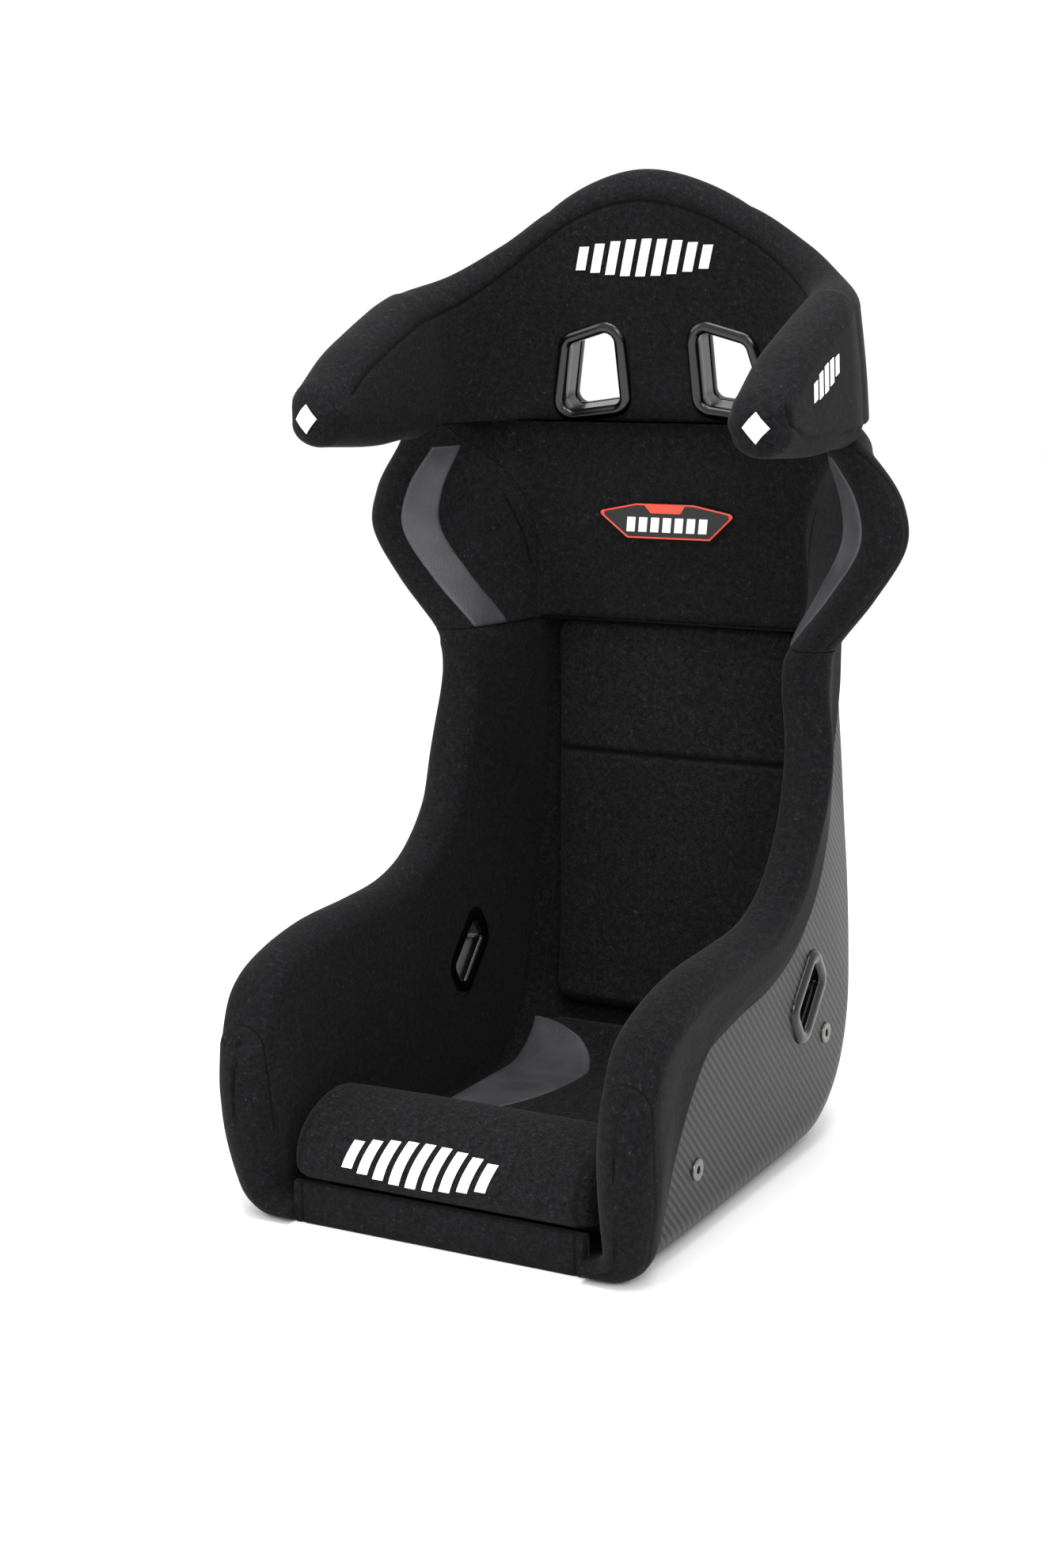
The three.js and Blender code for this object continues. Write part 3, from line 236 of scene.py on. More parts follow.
def tidyNormals(obj):
    bm = bmesh.new()
    bm.from_mesh(obj.data)
    bmesh.ops.remove_doubles(bm, verts=bm.verts, dist=1e-6)
    bmesh.ops.recalc_face_normals(bm, faces=bm.faces)
    bm.to_mesh(obj.data)
    bm.free()
    obj.data.update()


def loft(name, loops, closed=True):
    loops = np.array([toRow(loop) for loop in loops])
    rows, columns = loops.shape[:2]
    faces = gridFaces(rows, columns, wrapColumns=closed)
    faces.append(list(range(columns))[::-1])
    faces.append([(rows - 1) * columns + k for k in range(columns)])
    obj = makeMesh(name, loops.reshape(-1, 3), faces)
    tidyNormals(obj)
    return obj


def ring(name, loops):
    loops = np.array([toRow(loop) for loop in loops])
    rows, columns = loops.shape[:2]
    obj = makeMesh(name, loops.reshape(-1, 3), gridFaces(rows, columns, True, True))
    tidyNormals(obj)
    return obj


def inset(outline, distance):
    outline = np.asarray(outline, float)
    d = np.roll(outline, -1, 0) - np.roll(outline, 1, 0)
    d /= np.maximum(np.linalg.norm(d, axis=1), 1e-9)[:, None]
    area = np.sum(outline[:, 0] * np.roll(outline[:, 1], -1)
                  - np.roll(outline[:, 0], -1) * outline[:, 1])
    side = np.sign(area)
    return outline + np.stack([-d[:, 1], d[:, 0]], 1) * side * distance


def softEnds(count, first, last, soft=0.035, depth=2.2):
    # Rows of a sewn panel: evenly along it, and close together where its ends round over.
    ends = [(0, 1), (0.12, 0.5), (0.4, 0.15)]
    rows = [(first + soft * k, d * depth) for k, d in ends]
    rows += [(t, 0) for t in np.linspace(first + soft, last - soft, count)]
    rows += [(last - soft * k, d * depth) for k, d in reversed(ends)]
    return rows


def applyModifier(obj, kind, **settings):
    bpy.context.view_layer.objects.active = obj
    bpy.ops.object.modifier_add(type=kind)
    modifier = obj.modifiers[-1]
    for key, value in settings.items():
        setattr(modifier, key, value)
    bpy.ops.object.modifier_apply(modifier=modifier.name)


def cut(obj, cutters):
    for cutter in cutters:
        applyModifier(obj, "BOOLEAN", operation="DIFFERENCE", solver="EXACT", object=cutter)


def vertexArray(obj):
    co = np.zeros(len(obj.data.vertices) * 3)
    obj.data.vertices.foreach_get("co", co)
    return co.reshape(-1, 3)


def surfaceTree(obj):
    bm = bmesh.new()
    bm.from_mesh(obj.data)
    tree = BVHTree.FromBMesh(bm)
    bm.free()
    return tree


def pressSeams(obj, seams, depth=0.0014, width=0.0032):
    # Sewn seams: the cloth dips towards the thread, and the pile there lies in shadow. The same weight is
    # kept as the seam attribute, with which the knit paints that shade into its colour.
    co = vertexArray(obj)
    normals = np.zeros(len(co) * 3)
    obj.data.vertices.foreach_get("normal", normals)
    normals = normals.reshape(-1, 3)
    seamDipAndShade = np.zeros(len(co))
    if seams:
        surface = surfaceTree(obj)
        samples = np.concatenate([sampleLine(toRow(line), 0.0008) for line in seams])
        snapped = [surface.find_nearest(Vector(p), 0.007)[0] for p in samples]
        samples = np.array([p for p in snapped if p])
        tree = KDTree(len(samples))
        for k, p in enumerate(samples):
            tree.insert(p, k)
        tree.balance()
        low, high = samples.min(0) - width, samples.max(0) + width
        near = np.nonzero(np.all((co > low) & (co < high), axis=1))[0]
        for k in near:
            d = tree.find(co[k])[2]
            if d < width:
                seamDipAndShade[k] = (1 - (d / width) ** 2) ** 2
        co = co - normals * (seamDipAndShade * depth)[:, None]
        obj.data.vertices.foreach_set("co", co.ravel())
    # painted shade: this weight darkens the cloth's colour along the seams
    attribute = obj.data.attributes.new("seam", "FLOAT", "POINT")
    attribute.data.foreach_set("value", seamDipAndShade.astype(np.float32))
    obj.data.update()


def resample(line, count):
    at, own = np.linspace(0, 1, count), np.linspace(0, 1, len(line))
    return np.stack([np.interp(at, own, line[:, k]) for k in range(line.shape[1])], 1)


def sampleLine(points, step):
    lengths = np.concatenate([[0], np.cumsum(np.linalg.norm(np.diff(points, axis=0), axis=1))])
    count = max(int(lengths[-1] / step), 2)
    at = np.linspace(0, lengths[-1], count)
    return np.stack([np.interp(at, lengths, points[:, k]) for k in range(3)], 1)


# Materials
def hexColour(code):
    def linear(c):
        return c / 12.92 if c <= 0.04045 else ((c + 0.055) / 1.055) ** 2.4
    return tuple(linear(int(code[k:k + 2], 16) / 255) for k in (1, 3, 5)) + (1.0,)


def addNode(tree, kind, inputs=None, stops=(), **settings):
    # stops are a colour ramp's positions and colours
    node = tree.nodes.new(kind)
    for key, value in settings.items():
        setattr(node, key, value)
    for key, value in (inputs or {}).items():
        socket = node.inputs[key]
        if isinstance(value, bpy.types.NodeSocket):
            tree.links.new(value, socket)
        else:
            socket.default_value = value
    if stops:
        elements = node.color_ramp.elements
        while len(elements) < len(stops):
            elements.new(0.5)
        for element, (position, colour) in zip(elements, stops):
            element.position = position
            element.color = colour if len(colour) == 4 else (*colour, 1)
    return node


def newMaterial(name):
    material = bpy.data.materials.new(name)
    material.use_nodes = True
    tree = material.node_tree
    tree.nodes.clear()
    shader = addNode(tree, "ShaderNodeBsdfPrincipled")
    addNode(tree, "ShaderNodeOutputMaterial", {"Surface": shader.outputs[0]})
    return material, tree, shader


def knitMaterial(name, dark, light, tip, lumps=0.5):
    # Brushed polyester knit: a short matt pile whose tips catch light, finer than the eye resolves.
    material, tree, shader = newMaterial(name)
    place = addNode(tree, "ShaderNodeTexCoord").outputs["Object"]
    # the pile is about 1 mm apart, drawn twice as coarse so that it shows
    pile = addNode(tree, "ShaderNodeTexNoise", {"Vector": place, "Scale": 520.0, "Detail": 3.0,
                                                "Roughness": 0.75})
    tuft = addNode(tree, "ShaderNodeTexNoise", {"Vector": place, "Scale": 210.0, "Detail": 4.0,
                                                "Roughness": 0.7})
    cloud = addNode(tree, "ShaderNodeTexNoise", {"Vector": place, "Scale": 14.0, "Detail": 2.0})
    both = addNode(tree, "ShaderNodeMath", {0: pile.outputs["Fac"], 1: tuft.outputs["Fac"]},
                   operation="ADD")
    speck = addNode(tree, "ShaderNodeMath", {0: both.outputs[0], 1: 0.5}, operation="MULTIPLY")
    cloth = addNode(tree, "ShaderNodeValToRGB", {"Fac": speck.outputs[0]},
                    [(0.42, hexColour(dark)), (0.6, hexColour(light)), (0.74, hexColour(tip))])
    drift = addNode(tree, "ShaderNodeValToRGB", {"Fac": cloud.outputs["Fac"]},
                    [(0.35, (0.92, 0.92, 0.92)), (0.65, (1.05, 1.05, 1.05))])
    drifted = addNode(tree, "ShaderNodeMix", {"Factor": 1.0, 6: cloth.outputs[0], 7: drift.outputs[0]},
                      data_type="RGBA", blend_type="MULTIPLY")
    # Painted shade: along the seams the cloth's colour is darkened to about an eighth of its own, standing
    # in for the shadow in the dip.
    seam = addNode(tree, "ShaderNodeAttribute", attribute_name="seam")
    shade = addNode(tree, "ShaderNodeValToRGB", {"Fac": seam.outputs["Fac"]},
                    [(0.25, (1, 1, 1)), (0.85, (0.12, 0.12, 0.12))])
    colour = addNode(tree, "ShaderNodeMix", {"Factor": 1.0, 6: drifted.outputs[2], 7: shade.outputs[0]},
                     data_type="RGBA", blend_type="MULTIPLY")
    fine = addNode(tree, "ShaderNodeBump", {"Height": speck.outputs[0], "Strength": 0.55,
                                            "Distance": 0.0006})
    broad = addNode(tree, "ShaderNodeBump", {"Height": cloud.outputs["Fac"], "Strength": lumps,
                                             "Distance": 0.0015, "Normal": fine.outputs[0]})
    tree.links.new(colour.outputs[2], shader.inputs["Base Color"])
    tree.links.new(broad.outputs[0], shader.inputs["Normal"])
    shader.inputs["Roughness"].default_value = 0.95
    shader.inputs["Specular IOR Level"].default_value = 0.15
    shader.inputs["Sheen Weight"].default_value = 0.05
    shader.inputs["Sheen Roughness"].default_value = 0.4
    shader.inputs["Sheen Tint"].default_value = hexColour("#c8c8cc")
    return material


def carbonMaterial():
    # 2x2 twill carbon laminate: 2.5 mm tows that go over two and under two, under lacquer.
    material, tree, shader = newMaterial("lacqueredCarbonTwill")
    tow = 0.0025
    uv = addNode(tree, "ShaderNodeUVMap", uv_map="weave")
    scaled = addNode(tree, "ShaderNodeVectorMath", {0: uv.outputs[0], 1: (1 / tow, 1 / tow, 1)},
                     operation="MULTIPLY")
    parts = addNode(tree, "ShaderNodeSeparateXYZ", {0: scaled.outputs[0]})
    i, j = (addNode(tree, "ShaderNodeMath", {0: parts.outputs[k]}, operation="FLOOR") for k in (0, 1))
    diagonal = addNode(tree, "ShaderNodeMath", {0: i.outputs[0], 1: j.outputs[0]}, operation="ADD")
    turn = addNode(tree, "ShaderNodeMath", {0: diagonal.outputs[0], 1: 4.0}, operation="FLOORED_MODULO")
    onTop = addNode(tree, "ShaderNodeMath", {0: turn.outputs[0], 1: 1.5}, operation="LESS_THAN").outputs[0]

    def rounded(coordinate):                       # a tow's height across its width, 1 in its middle
        share = addNode(tree, "ShaderNodeMath", {0: coordinate}, operation="FRACT")
        offset = addNode(tree, "ShaderNodeMath", {0: share.outputs[0], 1: 0.5}, operation="SUBTRACT")
        square = addNode(tree, "ShaderNodeMath", {0: offset.outputs[0], 1: offset.outputs[0]},
                         operation="MULTIPLY")
        fall = addNode(tree, "ShaderNodeMath", {0: square.outputs[0], 1: 3.6}, operation="MULTIPLY")
        crest = addNode(tree, "ShaderNodeMath", {0: 1.0, 1: fall.outputs[0]}, operation="SUBTRACT")
        return crest.outputs[0]

    warp, weft = rounded(parts.outputs[0]), rounded(parts.outputs[1])
    height = addNode(tree, "ShaderNodeMix", {0: onTop, 2: weft, 3: warp}).outputs[0]
    fibre = addNode(tree, "ShaderNodeTexNoise", {"Vector": scaled.outputs[0], "Scale": 3.0, "Detail": 3.0})
    # Painted reflection: the tows on top get a light streak along their crowns and the tows beneath stay
    # near black, standing in for the lacquered weave catching light along one direction of tow.
    warpPaintedGlint = addNode(tree, "ShaderNodeValToRGB", {"Fac": warp},
                       [(0.62, hexColour("#050506")), (0.98, hexColour("#4c4c50"))])
    weftPaintedShade = addNode(tree, "ShaderNodeValToRGB", {"Fac": weft},
                       [(0.1, hexColour("#020203")), (1.0, hexColour("#09090a"))])
    tone = addNode(tree, "ShaderNodeMix", {0: onTop, 6: weftPaintedShade.outputs[0], 7: warpPaintedGlint.outputs[0]},
                   data_type="RGBA").outputs[2]
    fleck = addNode(tree, "ShaderNodeValToRGB", {"Fac": fibre.outputs["Fac"]},
                    [(0.3, (0.7, 0.7, 0.7)), (0.7, (1.15, 1.15, 1.15))]).outputs[0]
    colour = addNode(tree, "ShaderNodeMix", {"Factor": 1.0, 6: tone, 7: fleck}, data_type="RGBA",
                     blend_type="MULTIPLY")
    bump = addNode(tree, "ShaderNodeBump", {"Height": height, "Strength": 0.25, "Distance": 0.0004})
    tree.links.new(colour.outputs[2], shader.inputs["Base Color"])
    tree.links.new(bump.outputs[0], shader.inputs["Normal"])
    shader.inputs["Roughness"].default_value = 0.45
    shader.inputs["Specular IOR Level"].default_value = 0.12
    shader.inputs["Coat Weight"].default_value = 0.12
    shader.inputs["Coat Roughness"].default_value = 0.08
    return material


def plasticMaterial(name, colour, roughness, grain=0.0, scale=500.0, coat=0.0):
    # Moulded plastic: the mould's fine texture breaks the highlight a little.
    material, tree, shader = newMaterial(name)
    place = addNode(tree, "ShaderNodeTexCoord").outputs["Object"]
    noise = addNode(tree, "ShaderNodeTexNoise", {"Vector": place, "Scale": scale, "Detail": 3.0})
    bump = addNode(tree, "ShaderNodeBump", {"Height": noise.outputs["Fac"], "Strength": grain,
                                            "Distance": 0.0004})
    spread = addNode(tree, "ShaderNodeMapRange", {"Value": noise.outputs["Fac"], "To Min": roughness * 0.8,
                                                  "To Max": roughness * 1.25})
    tree.links.new(bump.outputs[0], shader.inputs["Normal"])
    tree.links.new(spread.outputs[0], shader.inputs["Roughness"])
    shader.inputs["Base Color"].default_value = hexColour(colour)
    shader.inputs["Coat Weight"].default_value = coat
    return material


def gripMaterial():
    # Anti-slip leatherette: pebbled grain about 1.2 mm across, with a soft shine.
    material, tree, shader = newMaterial("antiSlipLeatherette")
    place = addNode(tree, "ShaderNodeTexCoord").outputs["Object"]
    grain = addNode(tree, "ShaderNodeTexVoronoi", {"Vector": place, "Scale": 620.0})
    wear = addNode(tree, "ShaderNodeTexNoise", {"Vector": place, "Scale": 22.0, "Detail": 4.0})
    tone = addNode(tree, "ShaderNodeValToRGB", {"Fac": wear.outputs["Fac"]},
                   [(0.3, hexColour("#2c2c2e")), (0.7, hexColour("#414144"))])
    bump = addNode(tree, "ShaderNodeBump", {"Height": grain.outputs["Distance"], "Strength": 0.5,
                                            "Distance": 0.0005})
    tree.links.new(tone.outputs[0], shader.inputs["Base Color"])
    tree.links.new(bump.outputs[0], shader.inputs["Normal"])
    shader.inputs["Roughness"].default_value = 0.55
    return material


def steelMaterial():
    # Turned, zinc-plated steel: bright, with rings left by the tool.
    material, tree, shader = newMaterial("zincPlatedSteel")
    place = addNode(tree, "ShaderNodeTexCoord").outputs["Object"]
    noise = addNode(tree, "ShaderNodeTexNoise", {"Vector": place, "Scale": 900.0, "Detail": 2.0})
    tone = addNode(tree, "ShaderNodeValToRGB", {"Fac": noise.outputs["Fac"]},
                   [(0.3, hexColour("#5a5a57")), (0.7, hexColour("#80807c"))])
    tree.links.new(tone.outputs[0], shader.inputs["Base Color"])
    shader.inputs["Metallic"].default_value = 1.0
    shader.inputs["Roughness"].default_value = 0.28
    return material


def threadMaterial(name, colour):
    # Embroidery thread: satin stitches about 0.5 mm apart.
    material, tree, shader = newMaterial(name)
    place = addNode(tree, "ShaderNodeTexCoord").outputs["Object"]
    stitches = addNode(tree, "ShaderNodeTexWave", {"Vector": place, "Scale": 260.0, "Distortion": 1.5},
                       bands_direction="DIAGONAL")
    bump = addNode(tree, "ShaderNodeBump", {"Height": stitches.outputs["Fac"], "Strength": 0.3,
                                            "Distance": 0.0003})
    tree.links.new(bump.outputs[0], shader.inputs["Normal"])
    shader.inputs["Base Color"].default_value = hexColour(colour)
    shader.inputs["Roughness"].default_value = 0.7
    return material


knit = knitMaterial("brushedKnit", "#060607", "#171719", "#46464a", lumps=0.25)
cushionKnit = knitMaterial("brushedKnitCushion", "#070708", "#1b1b1d", "#4b4b4f", lumps=0.3)
carbon = carbonMaterial()
glossPlastic = plasticMaterial("mouldedGlossPlastic", "#030304", 0.22, grain=0.06)
leatherette = gripMaterial()
steel = steelMaterial()
whiteThread = threadMaterial("whiteThread", "#f1f1ef")
redEnamel = plasticMaterial("redMouldedRim", "#d9452b", 0.35, grain=0.1)
blackBadge = plasticMaterial("blackMouldedBadge", "#0b0b0c", 0.5, grain=0.4)
hookTape = plasticMaterial("wovenHookTape", "#101011", 0.9, grain=1.0, scale=1400.0)
print("stage: materials")


def finish(obj, material, slot, replaces=(), body="seat", fill=None, smooth=True):
    obj.data.materials.clear()
    obj.data.materials.append(material)
    if smooth:
        obj.data.polygons.foreach_set("use_smooth", [True] * len(obj.data.polygons))
        obj.data.update()
    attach(obj, body)
    if replaces:
        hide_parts(*replaces)
    return obj


def mirrored(obj, name):
    twin = obj.copy()
    twin.data = obj.data.copy()
    twin.name = name
    bpy.context.scene.collection.objects.link(twin)
    twin.data.transform(Matrix.Scale(-1, 4, (1, 0, 0)))
    twin.data.flip_normals()
    return twin


def pairOf(obj, stem, material, slot, nodes=None, **more):
    # The right piece as built, and its mirror image on the left.
    left = mirrored(obj, stem + "Left")
    node = nodes or stem
    finish(obj, material, slot, replaces=[node + "_right"], **more)
    finish(left, material, slot, replaces=[node + "_left"], **more)


# Belt-slot openings, as prisms that cut the shell and the padding
slotSizes = {"height": 732, "opening": [(45, -31), (109, -40), (93, 27), (45, 41)], "round": 9,
             "wall": 4, "lip": 13}
lapSizes = {"centre": (345, 160), "opening": [(-30, -13), (26, -15), (34, 9), (-22, 13)], "turn": 50,
            "round": 5, "wall": 3.5, "lip": 14}
crotchSizes = {"y": 203, "half": (32, 14), "round": 6, "wall": 4, "lip": 9}


def roundedPolygon(corners, radius, steps=10):
    corners = [np.asarray(c, float) for c in corners]
    n = len(corners)
    points = []
    for i in range(n):
        before, after = (corners[i] + corners[i - 1]) / 2, (corners[i] + corners[(i + 1) % n]) / 2
        points.append(roundedPath(before, corners[i], after, radius, 4, steps, 4)[:-1])
    return np.concatenate(points)


def growPolygon(corners, d):
    corners = [np.asarray(c, float) for c in corners]
    n, out = len(corners), []
    for i, p in enumerate(corners):
        u, v = p - corners[i - 1], corners[(i + 1) % n] - p
        u, v = u / np.linalg.norm(u), v / np.linalg.norm(v)
        k = d / (1 + u @ v)
        out.append((p[0] + (u[1] + v[1]) * k, p[1] - (u[0] + v[0]) * k))
    return out


class Plane:
    def __init__(self, origin, right, up, normal):
        self.origin, self.right = np.asarray(origin, float), np.asarray(right, float)
        self.up, self.normal = np.asarray(up, float), np.asarray(normal, float)

    def place(self, outline, depth):
        outline = np.asarray(outline, float)
        return self.origin + outline[:, :1] * self.right + outline[:, 1:] * self.up + self.normal * depth


def prism(name, plane, outline, low, high):
    return loft(name, [plane.place(outline, low), plane.place(outline, high)])


def bezel(name, plane, corners, radius, profile):
    # profile: closed list of (distance out from the opening, height over the plane)
    return ring(name, [plane.place(roundedPolygon(growPolygon(corners, d), radius + d), n)
                       for d, n in profile])


def tubeProfile(lip, proud, bed, wall, depth, steps=7):
    # A rounded lip over a thin sleeve: the lip's top is a half ellipse.
    points = [(0, -depth), (0, 0)]
    points += [(lip / 2 - lip / 2 * math.cos(a), proud * math.sin(a))
               for a in np.linspace(0.12, math.pi - 0.12, 2 * steps)]
    points += [(lip, -bed), (wall, -bed), (wall, -depth)]
    return points


slotLean = math.atan2(headSpineAt(slotSizes["height"] - 20) - headSpineAt(slotSizes["height"] + 20), 40)
slotPlane = Plane((0, headSpineAt(slotSizes["height"]) - seat["headPadIn"], slotSizes["height"]), (1, 0, 0),
                  (0, -math.sin(slotLean), math.cos(slotLean)),
                  (0, -math.cos(slotLean), -math.sin(slotLean)))
lapTurn = math.radians(lapSizes["turn"])
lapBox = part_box("lap_slot_bezel_inner_right"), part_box("lap_slot_bezel_outer_right")
lapFaceIn = lapBox[0][0].x * 1000 + 4              # padding face: the inner bezel stands 4 mm proud of it
lapFaceOut = lapBox[1][1].x * 1000 - 5             # laminate face: the outer bezel stands 5 mm proud of it
along = np.array([0, math.cos(lapTurn), math.sin(lapTurn)])


def lapPlane(x, side):
    normal = np.array([side, 0, 0])
    return Plane((x, *lapSizes["centre"]), along, np.cross(normal, along), normal)


lapOutPlane, lapInPlane = lapPlane(lapFaceOut, 1), lapPlane(lapFaceIn, -1)
lapFlipped = [(x, -y) for x, y in lapSizes["opening"]][::-1]
crotchPlane = Plane((0, crotchSizes["y"], 0), (1, 0, 0), (0, 1, 0), (0, 0, 1))
crotchCorners = [(x * crotchSizes["half"][0], y * crotchSizes["half"][1])
                 for x, y in ((-1, -1), (1, -1), (1, 1), (-1, 1))]


def opening(name, plane, sizes, corners, extra=0.3):
    grown = sizes["wall"] + extra
    return prism(name, plane, roundedPolygon(growPolygon(corners, grown), sizes["round"] + grown), -90, 90)


slotCutter = opening("slotCutter", slotPlane, slotSizes, slotSizes["opening"])
lapCutter = opening("lapCutter", lapOutPlane, lapSizes, lapSizes["opening"])
crotchCutter = opening("crotchCutter", crotchPlane, crotchSizes, crotchCorners)
cutters = {"slot": [slotCutter, mirrored(slotCutter, "slotCutterLeft")],
           "lap": [lapCutter, mirrored(lapCutter, "lapCutterLeft")], "crotch": [crotchCutter]}


# The shell
shellMesh = {"flat": 26, "arc": 14, "wall": 24, "wing": 40, "rowStep": 0.1, "headRows": 60}


def headPlan(z, n0, nArc, nWall, nWing):
    sy = headSpineAt(z)
    back = roundedPath((0, 0), (h - 2, 0), (h, headCorner + wingRoot), headCorner, n0, nArc, nWall)
    points = np.stack([back[:, 0], sy - back[:, 1]], 1)
    forward = np.linspace(points[-1, 1], seat["wingTipY"], nWing + 1)[1:]
    wing = np.stack([np.full(nWing, float(h)), forward], 1)
    return np.concatenate([points, wing])


def columnScale(n0, nArc, nWall, nWing):
    # The head's edge tables run 0..1 over the flat back, 1..2 over the corner and 2..3 over the wing.
    return np.concatenate([np.linspace(0, 1, n0 + 1), 1 + np.linspace(0, 1, nArc + 1)[1:],
                           2 + 0.01 * np.linspace(0, 1, nWall + 1)[1:],
                           2.01 + 0.99 * np.linspace(0, 1, nWing + 1)[1:]])


def bothSides(half):
    return np.concatenate([(half * (-1, 1, 1))[:0:-1], half])


def buildShell():
    n0, nArc, nWall, nWing = (shellMesh[k] for k in ("flat", "arc", "wall", "wing"))
    columns = n0 + nArc + nWall
    body = [bothSides(Section(t).place(Section(t).mold(n0, nArc, nWall)))
            for t in np.arange(0, neck + 1e-6, shellMesh["rowStep"])]
    scale = columnScale(n0, nArc, nWall, nWing)
    head = []
    for i in range(shellMesh["headRows"] + 1):
        half = []
        for j, c in enumerate(scale):
            low = smoothTable(wingBottom, c) if c > 2 else 684
            z = low + (smoothTable(headTop, c) - low) * i / shellMesh["headRows"]
            half.append((*headPlan(z, n0, nArc, nWall, nWing)[j], z))
        head.append(bothSides(np.array(half)))
    bodyRows, headRows = len(body), len(head)
    width, headWidth = 2 * columns + 1, 2 * (columns + nWing) + 1
    vertices = toRow(np.concatenate([np.concatenate(body), np.concatenate(head)]))
    faces = gridFaces(bodyRows, width)
    offset = bodyRows * width
    faces += [[offset + k for k in f] for f in gridFaces(headRows, headWidth)]
    obj = makeMesh("carbonShell", vertices, faces)
    bm = bmesh.new()
    bm.from_mesh(obj.data)
    bmesh.ops.remove_doubles(bm, verts=bm.verts, dist=2e-5)
    bmesh.ops.recalc_face_normals(bm, faces=bm.faces)
    bm.faces.ensure_lookup_table()
    lowest = min(bm.faces, key=lambda f: f.calc_center_median().z)
    if lowest.normal.z > 0:                        # the sheet is the outside, so it faces away
        bmesh.ops.reverse_faces(bm, faces=bm.faces)
    bm.to_mesh(obj.data)
    bm.free()
    bpy.ops.object.select_all(action="DESELECT")
    applyModifier(obj, "SOLIDIFY", thickness=seat["shellWall"] / 1000, offset=-1)
    cut(obj, cutters["slot"] + cutters["lap"] + cutters["crotch"])
    layer = obj.data.uv_layers.new(name="weave")
    co = vertexArray(obj)
    uv = np.zeros((len(obj.data.loops), 2))
    for face in obj.data.polygons:
        n = face.normal
        axes = (1, 2) if abs(n.x) > 0.62 else ((0, 2) if abs(n.y) > abs(n.z) else (0, 1))
        for k in face.loop_indices:
            p = co[obj.data.loops[k].vertex_index]
            flip = -1 if (axes == (1, 2) and n.x < 0) else 1
            uv[k] = (p[axes[0]] * flip, p[axes[1]])
    layer.data.foreach_set("uv", uv.ravel())
    finish(obj, carbon, "carbon_shell", replaces=["shell"])


buildShell()
print("stage: shell")

# Side and shoulder padding
noseBelly = 10                   # the nose's foam swells outwards at mid height
padMesh = {"toe": 6, "toeArc": 10, "wall": 64, "crest": 28, "outer": 36, "closing": 8}
padBulge = 3.5


def bolsterOutline(f, wallOnly=False, openFront=False):
    top = f.crest + f.inward * f.crestHalf
    n = padMesh
    if wallOnly:
        foot = f.down(f.wallDepth, 0) + f.inward * f.pad + f.wall * 0.3
        inner = foot + (top - foot) * np.linspace(0, 1, n["wall"] + n["toe"] + n["toeArc"] + 1)[:, None]
        endDepth = f.wallDepth - 0.3
    else:
        inner = roundedPath((f.toeEnd(), f.toe()), (f.base - f.padLow, f.toe()), top, seat["toeRound"],
                            n["toe"], n["toeArc"], n["wall"])
        endDepth = f.arcEnd + f.flatX - f.toeEnd()
    first = 0 if wallOnly else n["toe"] + n["toeArc"]
    k = np.linspace(0, 1, len(inner) - first)
    inner[first:] += np.outer(np.sin(math.pi * k) ** 0.8 * padBulge, f.inward)
    a = np.linspace(0, math.pi, n["crest"] + 2)[1:-1, None]
    crest = f.crest + f.inward * f.crestHalf * np.cos(a) + f.wall * seat["crestRound"] * np.sin(a)
    start = seat["crestRound"] - seat["crestRise"] - f.puff
    flap = min(f.flap, endDepth - 16) if openFront else f.flap
    depth = np.linspace(start, flap, n["outer"])
    fade = np.clip((flap - depth) / 7, 0, 1)
    thin = 1.2 if not openFront else seat["flapThick"]
    out = thin + (seat["flapThick"] - thin) * np.sqrt(1 - (1 - fade) ** 2)
    out = out + f.puff * np.clip(1 - (depth - start) / 55, 0, 1) ** 1.5
    belly = noseBelly * (1 - smoothstep(f.t, 0.2, 2.4))
    out = out + belly * np.sin(math.pi * np.clip((depth - start) / (flap - start), 0, 1)) ** 0.9
    outer = f.down(np.maximum(depth, -3), out)
    outer += np.outer(np.minimum(depth + 3, 0), -f.wall)
    k = np.linspace(0, 1, n["closing"] + 1)[1:]
    if openFront:
        closingOut = seat["flapThick"] + (f.sz - seat["flapThick"]) * np.minimum(2 * k, 1)
    else:
        closingOut = np.full(len(k), -seat["shellWall"] / 2)
    closing = f.down(flap + (endDepth - flap) * k, closingOut)
    return np.concatenate([inner, crest, outer, closing]), len(inner), len(crest)


def noseLoops(f, steps=14):
    # The padding's blunt front: its outline closes towards the middle of its own thickness.
    whole, inner, crest = bolsterOutline(f, openFront=True)
    outer = whole[inner + crest:]
    middle = np.concatenate([(whole[:inner] + resample(outer[::-1], inner)) / 2,
                             np.tile(f.crest, (crest, 1)),
                             (outer + resample(whole[:inner][::-1], len(outer))) / 2])
    z = f.place(whole)[:, 2]
    low = np.clip((190 - z) / 75, 0, 1)            # the nose draws back over its top 75 mm
    reach = (seat["noseLength"] * (0.2 + 0.8 * low * low * (3 - 2 * low))
             + 8 * np.sin(math.pi * np.clip(z / 175, 0, 1)))
    loops = []
    for i in range(steps, -1, -1):
        a = i / steps * 1.5
        loop = f.place(middle + (whole - middle) * math.cos(a))
        loop[:, 1] -= 0.5 + reach * math.sin(a)
        loops.append(loop)
    return loops


def crestLine(first, last, angle):
    # A line along the padding's crest at an angle from its inner edge.
    line = []
    for t in np.arange(first, last + 1e-6, 0.1):
        f = Section(t)
        across, over = f.crestHalf * math.cos(angle), seat["crestRound"] * math.sin(angle)
        line.append(f.place([f.crest + f.inward * across + f.wall * over])[0])
    return np.array(line)


def noseLine(ringIndex, low, high):
    # A line round the nose, from the inner wall over the crest to the outside.
    count = len(bolsterOutline(Section(0), openFront=True)[0]) - padMesh["closing"]
    return noseLoops(Section(0))[ringIndex][int(low * count):int(high * count)]


